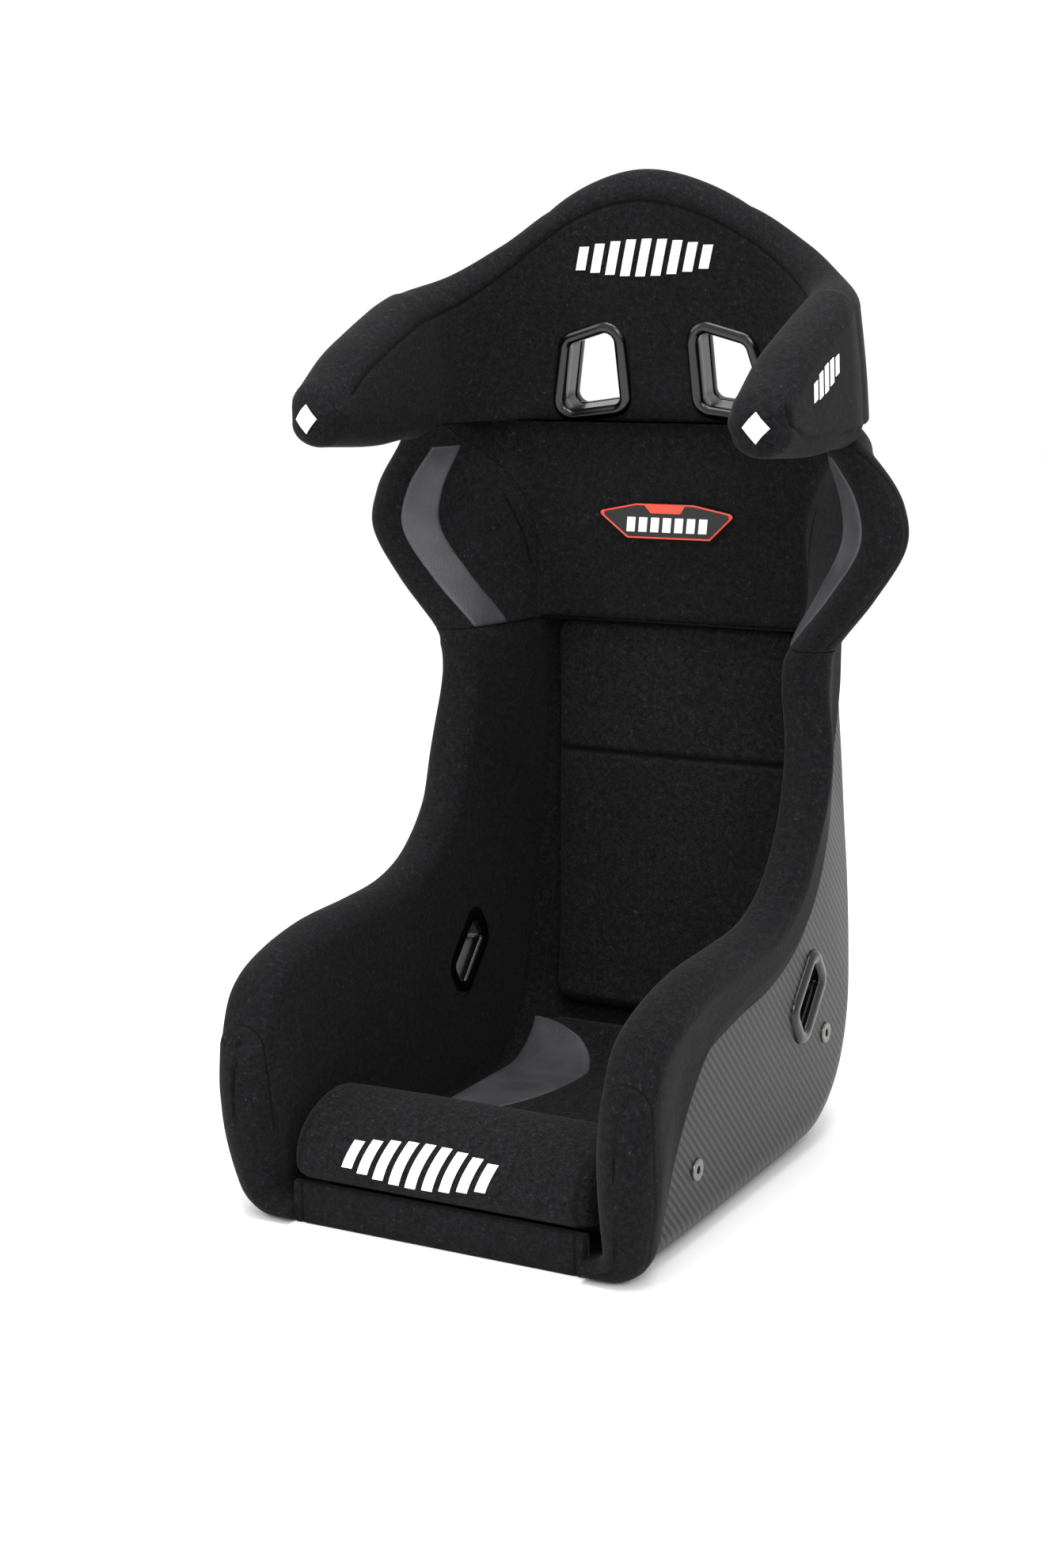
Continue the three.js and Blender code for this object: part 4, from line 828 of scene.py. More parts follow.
def buildThighBolster():
    loops = noseLoops(Section(0))
    for t, soft in softEnds(250, 0.0, ledge - seat["seamGap"])[3:]:
        f = Section(t)
        outline = bolsterOutline(f)[0]
        if t < 0.6:                                # the outside flap runs over the front foot, then opens
            opened = bolsterOutline(f, openFront=True)[0]
            outline = opened + (outline - opened) * smoothstep(t, 0.0, 0.6)
        loops.append(f.place(inset(outline, soft)))
    obj = loft("thighBolster", loops)
    cut(obj, cutters["lap"][:1])
    ridge = np.array([(190, y, z) for y, z in ((39, 185), (73, 203), (117, 212), (163, 218),
                                               (210, 228), (243, 236), (268, 246), (292, 262))])
    pressSeams(obj, [noseLine(-3, 0.3, 0.98), ridge], depth=0.0007, width=0.0022)
    pairOf(obj, "thighBolster", knit, "fuzzy_knit", nodes="thigh_bolster", fill=0.8)


# the seam that bounds each shoulder panel, down to the top of the back cushion
shoulderSeam = np.array([(194, 430, 626), (177, 445, 613), (164, 450, 592), (154, 455, 569), (145, 460, 539),
                         (137, 463, 511), (126, 466, 484)])


def buildShoulderBolster():
    loops = []
    for t, soft in softEnds(90, ledge + seat["seamGap"], neck - seat["seamGap"]):
        f = Section(t)
        loops.append(f.place(inset(bolsterOutline(f, wallOnly=True)[0], soft)))
    obj = loft("shoulderBolster", loops)
    pressSeams(obj, [crestLine(ledge + 0.1, neck - 0.6, 2.2), shoulderSeam], depth=0.001)
    pairOf(obj, "shoulderBolster", knit, "fuzzy_knit", nodes="shoulder_bolster", fill=0.8)


buildThighBolster()
buildShoulderBolster()
print("stage: side padding")

# Head padding
headMesh = {"flat": 44, "arc": 52, "wall": 4, "wing": 62, "inner": 60, "crest": 26, "outer": 50,
            "closing": 16}


def headPadLoops():
    m = headMesh
    n0, nArc, nWall, nWing = m["flat"], m["arc"], m["wall"], m["wing"]
    scale = columnScale(n0, nArc, nWall, nWing)
    root = n0 + nArc + nWall
    zTable = np.linspace(660, 930, 55)
    plans = np.array([headPlan(z, n0, nArc, nWall, nWing) for z in zTable])
    plan = headPlan(740, n0, nArc, nWall, nWing)
    d = np.gradient(plan, axis=0)
    d /= np.linalg.norm(d, axis=1)[:, None]
    normals = np.stack([-d[:, 1], d[:, 0]], 1)
    normals[0] = (0, 1)
    inn, rise, r = seat["headPadIn"], seat["headCrest"], seat["headRound"]
    loops = []
    for j, c in enumerate(scale):
        def at(z, out):
            z, out = np.broadcast_arrays(np.asarray(z, float), np.asarray(out, float))
            x, y = (np.interp(z, zTable, plans[:, j, k]) + normals[j, k] * out for k in (0, 1))
            return np.stack([x, y, z], -1)
        out = seat["backOut"] + (seat["headPadOut"] - seat["backOut"]) * smoothstep(c, 1.5, 2.2)
        top = smoothTable(headTop, c) + rise - r
        wing = j > root
        blend = smoothstep(c, 2.01, 2.12)
        bottom = 684.3
        if wing:
            bottom = (smoothTable(wingPadBottom, c) - rise + r) * blend + 684.5 * (1 - blend)
        k = np.linspace(0, 1, m["inner"] + 1)
        swell = padBulge * np.sin(math.pi * np.clip(k, 0, 1)) ** 0.7 * smoothstep(c, 0.9, 1.5)
        inner = at(bottom + (top - bottom) * k, -inn - swell)
        a = np.linspace(0, math.pi, m["crest"] + 2)[1:-1]
        crest = at(np.full(len(a), top), (out - inn) / 2 - (out + inn) / 2 * np.cos(a))
        crest[:, 2] = top + r * np.sin(a)
        reach = top - seat["crownFlap"]
        flap = bottom if wing else max(reach + (bottom + 4 - reach) * smoothstep(c, 1.1, 2), bottom + 4)
        k = np.linspace(0, 1, m["outer"] + 1)
        thin = out if wing else 1.2
        fade = np.sqrt(1 - (1 - np.clip((1 - k) * (top - flap) / 7, 0, 1)) ** 2)
        outer = at(top + (flap - top) * k, thin + (out - thin) * fade)
        if wing:
            a = np.linspace(0, math.pi, m["closing"] + 2)[1:-1]
            closing = at(np.full(len(a), bottom), (out - inn) / 2 + (out + inn) / 2 * np.cos(a))
            closing[:, 2] = bottom - r * np.sin(a) * max(blend, 0.05)
        else:
            closing = at(flap + (bottom - flap) * np.linspace(0, 1, m["closing"]), -seat["shellWall"] / 2)
        loops.append(np.concatenate([inner, crest, outer, closing]))
    return loops


def headPadTip(whole, steps=14):
    m = headMesh
    inner, crest = m["inner"] + 1, m["crest"]
    outer = whole[inner + crest:inner + crest + m["outer"] + 1]
    middle = np.concatenate([(whole[:inner] + resample(outer[::-1], inner)) / 2,
                             np.tile((whole[inner - 1] + outer[0]) / 2, (crest, 1)),
                             (outer + resample(whole[:inner][::-1], len(outer))) / 2,
                             np.tile((outer[-1] + whole[0]) / 2, (m["closing"], 1))])
    tips = []
    for i in range(1, steps + 1):
        a = i / steps * 1.5
        forwardBy = 0.6 + (seat["headCrest"] + 2) * math.sin(a)
        loop = middle + (whole - middle) * math.cos(a)
        loop[:, 1] -= forwardBy
        share = np.clip((whole[:, 2] - 690) / (whole[:, 2].max() - 690), 0, 1)
        loop[:, 2] -= forwardBy * 0.55 * share     # the top edge keeps falling towards the tip
        tips.append(loop)
    return tips


headLoops = headPadLoops()
headTips = headPadTip(headLoops[-1])


def headLine(index, first, last):
    # A line of the padding's own grid, over a range of columns, on the right side.
    return np.array([loop[index] for loop in headLoops[first:last]])


def buildHeadPad():
    right = headLoops + headTips
    left = [loop * (-1, 1, 1) for loop in right[:0:-1]]
    obj = loft("headRestraintPad", left + right)
    cut(obj, cutters["slot"])
    m = headMesh
    innerCount = m["inner"] + 1
    crown = m["flat"] + m["arc"]
    ringSeam = headLine(innerCount - 3, 0, crown)
    rimSeam = headLine(innerCount - 3, crown, len(headLoops) - 4)
    panel = np.array([(250, y, z) for y, z in ((330, 806), (295, 800), (204, 760), (186, 745), (178, 728),
                                               (188, 703), (222, 690), (293, 689), (349, 687), (378, 690))])
    seams = [ringSeam, rimSeam, panel]
    seams += [seam * (-1, 1, 1) for seam in seams]
    pressSeams(obj, seams)
    return finish(obj, knit, "fuzzy_knit", replaces=["head_restraint_pad"], fill=0.85)


headPad = buildHeadPad()
print("stage: head padding")


# Linings, upper back pad, apron
def buildUpperPad():
    loops = []
    for t, soft in softEnds(80, ledge + seat["seamGap"], neck - seat["seamGap"]):
        f = Section(t)
        face = smoothTable(upperThick, t)
        foot = f.down(f.wallDepth, 0) + f.inward * f.pad - f.wall * 0.3
        corner = np.array([foot[0] + f.wall[0] * (face - foot[1]) / f.wall[1], face])
        front = roundedPath((0, face), corner, foot, 30, 70, 16, 6)
        back = f.mold(40, 24, 1, seat["shellWall"])[:65]
        half = np.concatenate([front, back[::-1]])
        outline = np.concatenate([half, (half * (-1, 1))[::-1][1:-1]])
        loops.append(f.place(inset(outline, soft)))
    obj = loft("upperBackPad", loops)
    pressSeams(obj, [shoulderSeam, shoulderSeam * (-1, 1, 1)], depth=0.001)
    finish(obj, knit, "fuzzy_knit", replaces=["upper_back_pad"], fill=0.7)


def buildLining(name, node, first, last, count, cutters=()):
    loops = []
    for t, soft in softEnds(count, first, last, depth=1.2):
        f = Section(t)
        half = f.toeEnd() - 0.3
        low, top = seat["shellWall"] * f.slant, f.toe()
        xs = np.linspace(-half, half, 60)
        outline = np.concatenate([np.stack([xs, np.full(60, top)], 1),
                                  np.stack([xs[::-1], np.full(60, low)], 1)])
        loops.append(f.place(inset(outline, soft * 0.6)))
    obj = loft(name, loops)
    cut(obj, cutters)
    pressSeams(obj, [])
    finish(obj, knit, "fuzzy_knit", replaces=[node], fill=0.4)


apron = {"height": 38, "thick": 11, "seamFromEnd": 9}


def buildApron():
    f = Section(0)
    half = f.toeEnd() - 0.3
    back = f.sy - 0.8
    centre = np.array([back - apron["thick"] / 2, apron["height"] / 2])
    a = np.linspace(0, 2 * math.pi, 72, endpoint=False)
    power = 0.32
    profile = centre + np.stack([np.sign(np.cos(a)) * np.abs(np.cos(a)) ** power * apron["thick"] / 2,
                                 np.sign(np.sin(a)) * np.abs(np.sin(a)) ** power * apron["height"] / 2], 1)
    loops = []
    for x in np.linspace(-half, half, 150):
        end = half - abs(x)
        k = math.sqrt(1 - (1 - min(end / 3, 1)) ** 2) * 0.25 + 0.75
        p = centre + (profile - centre) * (k, 1)
        loops.append(np.stack([np.full(len(p), x), p[:, 0], np.maximum(p[:, 1], 0)], 1))
    obj = loft("frontApron", loops)
    edge = half - apron["seamFromEnd"]
    heights = np.linspace(0, apron["height"], 20)
    seams = [np.array([(side * edge, back - apron["thick"], z) for z in heights]) for side in (-1, 1)]
    pressSeams(obj, seams, depth=0.001)
    finish(obj, knit, "fuzzy_knit", replaces=["front_apron"], fill=0.4)


buildUpperPad()
buildLining("panLining", "pan_lining", 0.35, 7.4, 70, cutters["crotch"])
buildLining("backLining", "back_lining", 7.41, ledge - seat["seamGap"], 80)
buildApron()
print("stage: linings and apron")

# Cushions
cushionLift = seat["shellWall"] + seat["liningThick"] + 0.6 + 1.2
backCushion = {"first": 8.93, "last": 15.03, "half": (125, 134), "thick": 21.5, "corner": 22,
               "seamAt": 13.02}
seatCushion = {"first": 3.86, "last": 8.55, "half": (146, 130), "thick": 24, "corner": 20,
               "notch": (42, 60, 32)}
thighCushion = {"half": 151, "endRound": 18}


def slabLoops(sizes, halfAt, crown, rows=150, around=120):
    first, last = sizes["first"], sizes["last"]
    ts = np.linspace(first, last, 400)
    spine = np.array([Section(t).placeNormal([(0, cushionLift)])[0] for t in ts])
    at = np.concatenate([[0], np.cumsum(np.linalg.norm(np.diff(spine, axis=0), axis=1))])
    length = at[-1]
    ends = np.array([0.15, 0.6, 1.3, 2.2, 3.4, 5, 7, 9.5, 12.5, 16, 20])
    places = np.concatenate([ends, np.linspace(24, length - 24, rows), length - ends[::-1]])
    loops = []
    a = np.linspace(0, 2 * math.pi, around, endpoint=False)
    for place in places:
        f = Section(np.interp(place, at, ts))
        d = min(place, length - place)
        r = sizes["corner"]
        half = halfAt(place / length) - (r - math.sqrt(max(r * r - max(r - d, 0) ** 2, 0)))
        edge = 9
        k = math.sqrt(max(1 - (1 - min(d / edge, 1)) ** 2, 0.02))
        thick = sizes["thick"]
        middle = cushionLift + thick * 0.45
        x = np.sign(np.cos(a)) * np.abs(np.cos(a)) ** 0.22 * half
        rise = np.where(np.sin(a) > 0, thick * 0.55 + crown * (1 - (x / half) ** 2), thick * 0.45)
        n = middle + np.sign(np.sin(a)) * np.abs(np.sin(a)) ** 0.45 * rise * k
        loops.append(f.placeNormal(np.stack([x, n], 1)))
    return loops


def buildBackCushion():
    low, high = backCushion["half"]
    loops = slabLoops(backCushion, lambda k: low + (high - low) * smoothstep(k, 0, 0.6), 3)
    obj = loft("backCushion", loops)
    f = Section(backCushion["seamAt"])
    height = cushionLift + backCushion["thick"]
    xs = np.linspace(-high, high, 140)
    seam = f.placeNormal(np.stack([xs, np.full(140, height)], 1))
    pressSeams(obj, [seam], depth=0.003, width=0.0055)
    finish(obj, cushionKnit, "fuzzy_knit", replaces=["back_cushion"], body="back_cushion_body", fill=0.8)


def buildSeatCushion():
    low, high = seatCushion["half"]
    loops = slabLoops(seatCushion, lambda k: low + (high - low) * smoothstep(k, 0.6, 1), 2)
    obj = loft("seatCushion", loops)
    half, front, back = seatCushion["notch"]
    outline = roundedPolygon([(-half, -front), (half, -front), (half, back), (-half, back)], 8)
    cutter = prism("notchCutter", crotchPlane, outline, -5, 90)
    cut(obj, [cutter])
    bpy.data.objects.remove(cutter)
    pressSeams(obj, [])
    finish(obj, cushionKnit, "fuzzy_knit", replaces=["seat_cushion"], body="seat_cushion_body", fill=0.7)


def closedSpline(points, count):
    points = np.asarray(points, float)
    n = len(points)
    out = []
    for t in np.linspace(0, n, count, endpoint=False):
        i, f = int(t), t - int(t)
        a, c, d, e = (points[(i + k) % n] for k in (-1, 0, 1, 2))
        out.append(c + 0.5 * f * (d - a + f * (2 * a - 5 * c + 4 * d - e + f * (3 * (c - d) + e - a))))
    return np.array(out)


def buildThighCushion():
    low = seat["shellWall"] + seat["liningThick"] + 1.8
    profile = closedSpline([(165, low + 1), (110, low + 1.5), (62, low + 2), (34, 27), (14, 38), (1, 43),
                            (-5, 54), (-2, 72), (10, 89), (32, 102), (60, 109), (86, 105), (116, 83),
                            (148, 46), (166, low + 8)], 130)
    middle = np.array([70, 62])
    half, r = thighCushion["half"], thighCushion["endRound"]
    ends = np.array([0, 0.3, 0.8, 1.6, 2.7, 4.2, 6, 8.2, 11, 14])
    xs = np.concatenate([-half + ends, np.linspace(-half + r, half - r, 150), half - ends[::-1]])
    loops = []
    for x in xs:
        d = min((half - abs(x)) / r, 1)
        shrink = 1 - 0.3 * (1 - math.sqrt(max(1 - (1 - d) ** 2, 0)))
        sag = 1.6 * (1 - (x / half) ** 2)          # sits a little lower and fuller in the middle
        p = middle + (profile - middle) * shrink
        p[:, 1] = np.where(p[:, 1] > middle[1], p[:, 1] + sag - 0.8, p[:, 1])
        loops.append(np.stack([np.full(len(p), x), p[:, 0], np.maximum(p[:, 1], low)], 1))
    obj = loft("thighCushion", loops)
    edge = half - 12
    seams = []
    for side in (-1, 1):
        seams.append(np.stack([np.full(len(profile), side * edge), profile[:, 0], profile[:, 1]], 1)[30:75])
    pressSeams(obj, seams, depth=0.0012)
    return finish(obj, cushionKnit, "fuzzy_knit", replaces=["thigh_cushion"],
                  body="thigh_cushion_body", fill=0.85)


buildBackCushion()
buildSeatCushion()
thighCushionPiece = buildThighCushion()
print("stage: cushions")


# Anti-slip panels and hook strips
def patchPanel(name, pointAt, rows, columns, low, thick):
    # A thin panel that follows a surface, with its edges rounded over.
    grid = np.array([[pointAt(u, v) for v in np.linspace(0, 1, columns)] for u in np.linspace(0, 1, rows)])
    du, dv = np.gradient(grid, axis=0), np.gradient(grid, axis=1)
    n = np.cross(du, dv)
    n /= np.maximum(np.linalg.norm(n, axis=2), 1e-9)[:, :, None]
    edge = np.minimum(np.minimum(np.arange(rows), rows - 1 - np.arange(rows))[:, None] / 3,
                      np.minimum(np.arange(columns), columns - 1 - np.arange(columns)) / 3)
    height = low + thick * np.sqrt(1 - (1 - np.clip(edge, 0, 1)) ** 2)
    if n[rows // 2, columns // 2] @ (np.array([0, 250, 500]) - grid[rows // 2, columns // 2]) < 0:
        n = -n
    top, bottom = grid + n * height[:, :, None], grid - n * 0.6
    faces = gridFaces(rows, columns)
    offset = rows * columns
    faces += [[offset + k for k in f[::-1]] for f in faces]
    border = [(0, k) for k in range(columns)] + [(k, columns - 1) for k in range(1, rows)]
    border += [(rows - 1, k) for k in range(columns - 2, -1, -1)]
    border += [(k, 0) for k in range(rows - 2, 0, -1)]
    ids = [i * columns + j for i, j in border]
    faces += [[p, q, offset + q, offset + p] for p, q in zip(ids, ids[1:] + ids[:1])]
    obj = makeMesh(name, toRow(np.concatenate([top.reshape(-1, 3), bottom.reshape(-1, 3)])), faces)
    tidyNormals(obj)
    return obj


shoulderGrip = {"first": ledge + 0.03, "last": 19.2, "width": 44}
seatGrip = {"first": 4.4, "last": 8.45, "edge": 141, "reach": 92}


def shoulderGripAt(u, v):
    f = Section(shoulderGrip["first"] + (shoulderGrip["last"] - shoulderGrip["first"]) * u)
    top = f.crest + f.inward * f.crestHalf
    foot = f.down(f.wallDepth, 0) + f.inward * f.pad
    length = np.linalg.norm(top - foot)
    down = (2 + (1 - v) * shoulderGrip["width"] * (1 - 0.25 * u)) / length
    bulge = math.sin(math.pi * min(max(down, 0), 1)) ** 0.8 * padBulge
    return f.place([top + (foot - top) * down + f.inward * bulge])[0]


def seatGripAt(u, v):
    f = Section(seatGrip["first"] + (seatGrip["last"] - seatGrip["first"]) * u)
    bulge = math.sqrt(max(1 - (2 * u - 1) ** 2, 0.004))
    x = seatGrip["edge"] - (1 - v) * seatGrip["reach"] * bulge
    crown = 2 * (1 - (x / 138) ** 2)
    edge = (1 - min(x / 146, 1) ** 9) ** 0.2
    height = cushionLift + seatCushion["thick"] * (0.45 + 0.55 * edge) + crown
    return f.placeNormal([(x, height)])[0]


pairOf(patchPanel("shoulderGrip", shoulderGripAt, 70, 24, 0.5, 1.0), "shoulderGrip", leatherette,
       "grip_cloth", nodes="shoulder_grip")
pairOf(patchPanel("seatGrip", seatGripAt, 80, 30, 0.3, 0.9), "seatGrip", leatherette, "grip_cloth",
       nodes="seat_grip", body="seat_cushion_body")
for name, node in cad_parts.items():
    if "hook_strip" in name:
        node.data.materials.clear()
        node.data.materials.append(hookTape)
print("stage: panels")

# Bezels, inserts, badge
frontProfile = tubeProfile(slotSizes["lip"], 6, 3, slotSizes["wall"], 21.5)
pairOf(bezel("slotBezel", slotPlane, slotSizes["opening"], slotSizes["round"], frontProfile), "slotBezel",
       glossPlastic, "gloss_bezel", nodes="shoulder_slot_bezel")
shellPlane = Plane(slotPlane.origin - slotPlane.normal * seat["headPadIn"], slotPlane.right, slotPlane.up,
                   slotPlane.normal)
pairOf(bezel("slotBackBezel", shellPlane, slotSizes["opening"], slotSizes["round"],
             [(d, -n) for d, n in tubeProfile(slotSizes["lip"], 8, -1.5, slotSizes["wall"], 8)]),
       "slotBackBezel", glossPlastic, "gloss_bezel", nodes="shoulder_slot_back_bezel")
pairOf(bezel("lapBezelInner", lapInPlane, lapFlipped, lapSizes["round"],
             tubeProfile(lapSizes["lip"] + 3, 5, 2.5, lapSizes["wall"], lapFaceOut - lapFaceIn - 9)),
       "lapBezelInner", glossPlastic, "gloss_bezel", nodes="lap_slot_bezel_inner")
pairOf(bezel("lapBezelOuter", lapOutPlane, lapSizes["opening"], lapSizes["round"],
             tubeProfile(lapSizes["lip"], 5, -0.4, lapSizes["wall"], 8)),
       "lapBezelOuter", glossPlastic, "gloss_bezel", nodes="lap_slot_bezel_outer")
crotchTop = Plane(crotchPlane.origin + np.array([0, 0, 12.8]), crotchPlane.right, crotchPlane.up,
                  crotchPlane.normal)
finish(bezel("crotchBezel", crotchTop, crotchCorners, crotchSizes["round"],
             tubeProfile(crotchSizes["lip"], 3, 0, crotchSizes["wall"], 12.3)), glossPlastic, "gloss_bezel",
       replaces=["crotch_slot_bezel"])


def buildInsert(node):
    low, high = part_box(node)
    side = 1 if low.x > 0 else -1
    face = (high.x if side > 0 else -low.x) * 1000
    y, z = (low.y + high.y) / 2, (low.z + high.z) / 2
    r, bore = (high.z - low.z) * 500, 3.4
    profile = [(face - 7, 6), (face - 3.2, 6), (face - 3.2, r), (face - 1.2, r), (face - 0.5, r - 0.4),
               (face - 0.1, r - 1.2), (face - 0.1, bore + 1.2), (face - 0.8, bore), (face - 7, bore)]
    a = np.linspace(0, 2 * math.pi, 48, endpoint=False)
    loops = [np.stack([np.full(48, side * x / 1000), y + radius / 1000 * np.cos(a),
                       z + radius / 1000 * np.sin(a)], 1) for x, radius in profile]
    obj = makeMesh(node.replace("side_mount_", "") + "_turned", np.concatenate(loops),
                   gridFaces(len(loops), 48, True, True))
    tidyNormals(obj)
    finish(obj, steel, "insert_steel", replaces=[node], smooth=False)


for name in [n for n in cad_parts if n.startswith("side_mount_insert")]:
    buildInsert(name)
print("stage: bezels and inserts")


def splitSides(polygon, step):
    points = []
    n = len(polygon)
    for i in range(n):
        p, q = np.asarray(polygon[i], float), np.asarray(polygon[(i + 1) % n], float)
        count = max(int(np.linalg.norm(q - p) / step), 1)
        points += [tuple(p + (q - p) * k / count) for k in range(count)]
    return points


def drapeShape(tree, polygons, origin, right, up, lift, thick, name, step=1.6):
    # Flat shapes in a plane, laid onto a padded surface along the plane's normal and given a thickness.
    origin, right, up = (np.asarray(v, float) for v in (origin, right, up))
    right, up = right / np.linalg.norm(right), up / np.linalg.norm(up)
    normal = np.cross(right, up)
    bm = bmesh.new()
    for polygon in polygons:
        bm.faces.new([bm.verts.new((x, y, 0)) for x, y in splitSides(polygon, step)])
    corners = [v.co.copy() for v in bm.verts]
    for axis in (0, 1):
        lo, hi = min(v[axis] for v in corners), max(v[axis] for v in corners)
        for k in np.arange(lo + step, hi, step * 2):
            geometry = bm.verts[:] + bm.edges[:] + bm.faces[:]
            place, direction = [0, 0, 0], [0, 0, 0]
            place[axis], direction[axis] = k, 1
            bmesh.ops.bisect_plane(bm, geom=geometry, plane_co=place, plane_no=direction, dist=1e-5)
    bmesh.ops.triangulate(bm, faces=bm.faces)
    for v in bm.verts:
        p = toRow(origin + right * v.co.x + up * v.co.y)
        start = Vector(p + normal * 0.08)
        hit, hitNormal = tree.ray_cast(start, Vector(-normal))[:2]
        v.co = hit + hitNormal * (lift / 1000) if hit else Vector(p)
    extruded = bmesh.ops.extrude_face_region(bm, geom=bm.faces[:])
    for v in [g for g in extruded["geom"] if isinstance(g, bmesh.types.BMVert)]:
        v.co += Vector(normal) * (thick / 1000)
    bmesh.ops.recalc_face_normals(bm, faces=bm.faces)
    mesh = bpy.data.meshes.new(name)
    bm.to_mesh(mesh)
    bm.free()
    obj = bpy.data.objects.new(name, mesh)
    bpy.context.scene.collection.objects.link(obj)
    return obj


def slantedBars(width, height, count, slant=0.35, fillShare=0.62):
    # A plain motif: a row of slanted bars, tallest in the middle.
    bars = []
    pitch = width / count
    wide = pitch * fillShare
    for k in range(count):
        x = -width / 2 + pitch * (k + 0.5)
        tall = height * (0.55 + 0.45 * math.cos(math.pi * (k - (count - 1) / 2) / count))
        lean = slant * tall / 2
        bars.append([(x - wide / 2 - lean, -tall / 2), (x + wide / 2 - lean, -tall / 2),
                     (x + wide / 2 + lean, tall / 2), (x - wide / 2 + lean, tall / 2)])
    return bars


def diamond(width, height):
    return [[(-width / 2, 0), (0, -height / 2), (width / 2, 0), (0, height / 2)]]


headTree = surfaceTree(headPad)
crownUp = (0, -math.sin(slotLean), math.cos(slotLean))
acrossWidth = (1, 0, 0)
wingBars = slantedBars(64, 22, 5)
motifs = [
    ("crownMotif", headTree, slantedBars(146, 36, 9), (0, 425, 842), acrossWidth, crownUp, "seat"),
    ("wingMotifRight", headTree, wingBars, (262, 262, 738), (0, 0.92, 0.39), (0, -0.39, 0.92), "seat"),
    ("wingMotifLeft", headTree, wingBars, (-262, 262, 738), (0, -0.92, -0.39), (0, -0.39, 0.92), "seat"),
    ("tipMotifRight", headTree, diamond(24, 26), (224, 160, 704), acrossWidth, (0, 0.2, 1), "seat"),
    ("tipMotifLeft", headTree, diamond(24, 26), (-224, 160, 704), acrossWidth, (0, 0.2, 1), "seat"),
    ("cushionMotif", surfaceTree(thighCushionPiece), slantedBars(152, 40, 9), (-16, 5, 70), acrossWidth,
     (0, 0.42, 0.9), "thigh_cushion_body"),
]
for name, tree, shapes, origin, right, up, body in motifs:
    finish(drapeShape(tree, shapes, origin, right, up, 0.5, 0.7, name), whiteThread, "fuzzy_knit",
           body=body, smooth=False)

badge = {"outline": [(-45, -17), (45, -17), (75, 10), (31, 19), (-31, 19), (-75, 10)]}
lowBadge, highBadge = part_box("badge_plate")
badgeZ = (lowBadge.z + highBadge.z) / 2 * 1000
slope = (highBadge.y - lowBadge.y) / (highBadge.z - lowBadge.z)
badgeFaceY = (lowBadge.y + highBadge.y) / 2 * 1000 - yShift * 1000
badgeUp = np.array([0, -slope, 1]) / math.hypot(1, slope)
badgePlane = Plane((0, badgeFaceY - 0.9, badgeZ), (1, 0, 0), badgeUp, np.cross((1, 0, 0), badgeUp))
print("stage: motifs")

plateProfile = [badgePlane.place(roundedPolygon(growPolygon(badge["outline"], d), 3, 4), n)
                for d, n in ((0, -1.2), (0, 0.2), (-0.5, 0.7), (-1.2, 0.8))]
finish(loft("badgePlate", plateProfile), blackBadge, "badge", replaces=["badge_plate"], smooth=False)
rimProfile = [(-0.2, 0.2), (0, 0.9), (-0.5, 1.3), (-1.3, 1.3), (-1.8, 0.9), (-1.8, 0.2)]
rim = ring("badgeRim", [badgePlane.place(roundedPolygon(growPolygon(badge["outline"], d), 3, 4), n)
                        for d, n in rimProfile])
finish(rim, redEnamel, "badge", smooth=False)


def badgeShape(name, polygons, material):
    pieces = [prism(name, badgePlane, polygon, 0.6, 1.25) for polygon in polygons]
    bpy.ops.object.select_all(action="DESELECT")
    for piece in pieces:
        piece.select_set(True)
    bpy.context.view_layer.objects.active = pieces[0]
    if len(pieces) > 1:
        bpy.ops.object.join()
    finish(pieces[0], material, "badge", smooth=False)


badgeShape("badgeTab", [[(-16, 9.5), (16, 9.5), (22, 17.6), (-22, 17.6)]], redEnamel)
badgeShape("badgeBars", [[(x + dx, y) for dx, y in ((-7, -10), (2, -10), (5, 5), (-4, 5))]
                         for x in (-38, -25, -12, 1, 14, 27, 40)], whiteThread)
for group in cutters.values():
    for cutter in group:
        bpy.data.objects.remove(cutter)
print("stage: badge")

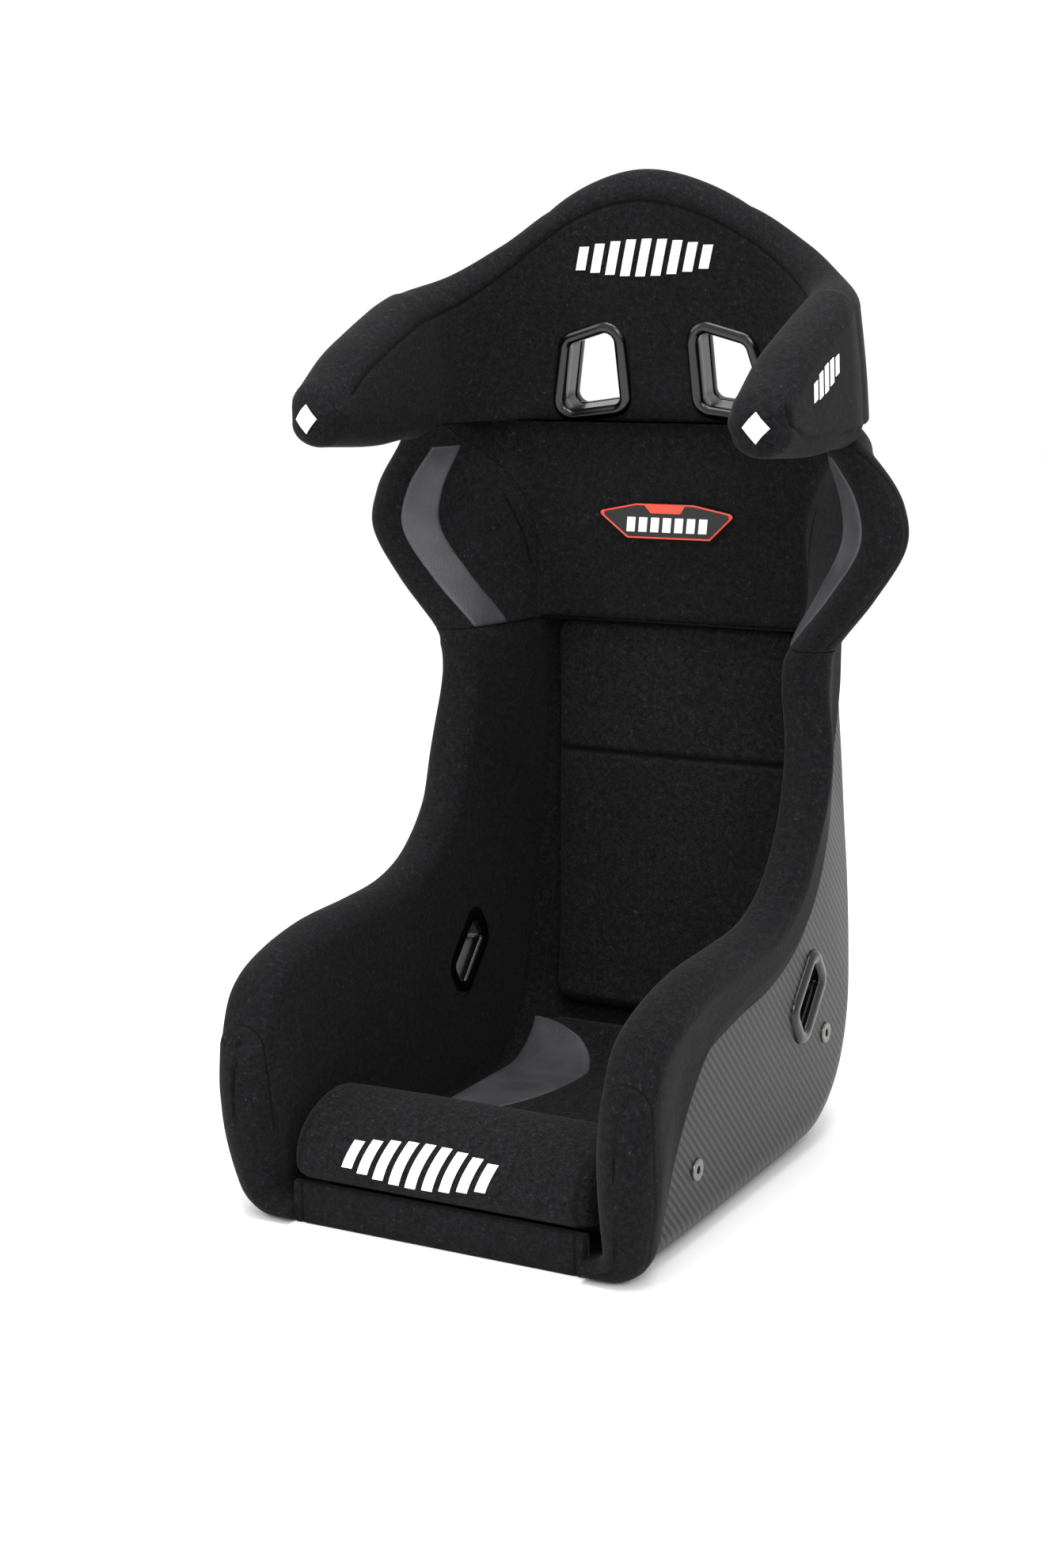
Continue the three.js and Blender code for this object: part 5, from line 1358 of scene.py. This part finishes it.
# Floor, light and camera
bpy.ops.mesh.primitive_plane_add(size=14, location=(0, 2, 0))
floor = bpy.context.object
floor.name = "floor"
floorMaterial, _, floorShader = newMaterial("paleFloor")
floorShader.inputs["Base Color"].default_value = hexColour("#f8f8f8")
floorShader.inputs["Roughness"].default_value = 0.7
floorShader.inputs["Specular IOR Level"].default_value = 0.2
floor.data.materials.append(floorMaterial)

scene = bpy.context.scene
world = bpy.data.worlds.new("studio")
world.use_nodes = True
world.node_tree.nodes["Background"].inputs["Color"].default_value = (1, 1, 1, 1)
world.node_tree.nodes["Background"].inputs["Strength"].default_value = 1.06
scene.world = world
scene.view_settings.view_transform = "Standard"    # a white studio stays white


def softBox(name, location, target, size, power):
    light = bpy.data.lights.new(name, "AREA")
    light.shape, light.size, light.energy = "RECTANGLE", size[0], power
    light.size_y = size[1]
    obj = bpy.data.objects.new(name, light)
    obj.location = location
    obj.rotation_euler = (Vector(target) - Vector(location)).to_track_quat("-Z", "Y").to_euler()
    scene.collection.objects.link(obj)
    return obj


softBox("topBox", (0.1, -0.3, 2.6), (0, 0, 0.5), (1.6, 1.6), 62)
softBox("rightBox", (1.7, -2.2, 2.1), (0, 0, 0.5), (1.2, 1.2), 34)
softBox("leftBox", (-2.2, -1.6, 1.5), (0, 0, 0.5), (0.8, 1.6), 16)

camera = {"azimuth": 29.19, "drop": 11.79, "roll": -0.98, "lens": 58.77,
          "place": (1095.16, -1793.78, 849.77)}
azimuth, drop, roll = (math.radians(camera[k]) for k in ("azimuth", "drop", "roll"))
rightWard = np.array([math.cos(azimuth), math.sin(azimuth), 0])
forward = np.array([-math.sin(azimuth) * math.cos(drop), math.cos(azimuth) * math.cos(drop),
                    -math.sin(drop)])
upWard = np.cross(rightWard, forward)
rolledRight = math.cos(roll) * rightWard + math.sin(roll) * upWard
rolledUp = -math.sin(roll) * rightWard + math.cos(roll) * upWard
cameraData = bpy.data.cameras.new("camera")
cameraData.sensor_fit = "VERTICAL"
cameraData.sensor_height = 36
cameraData.lens = camera["lens"]
cameraObject = bpy.data.objects.new("camera", cameraData)
turn = Matrix((rolledRight, rolledUp, -forward)).transposed().to_4x4()
turn.translation = Vector(toRow(camera["place"]))
cameraObject.matrix_world = turn
scene.collection.objects.link(cameraObject)
scene.camera = cameraObject
print("stage: studio")
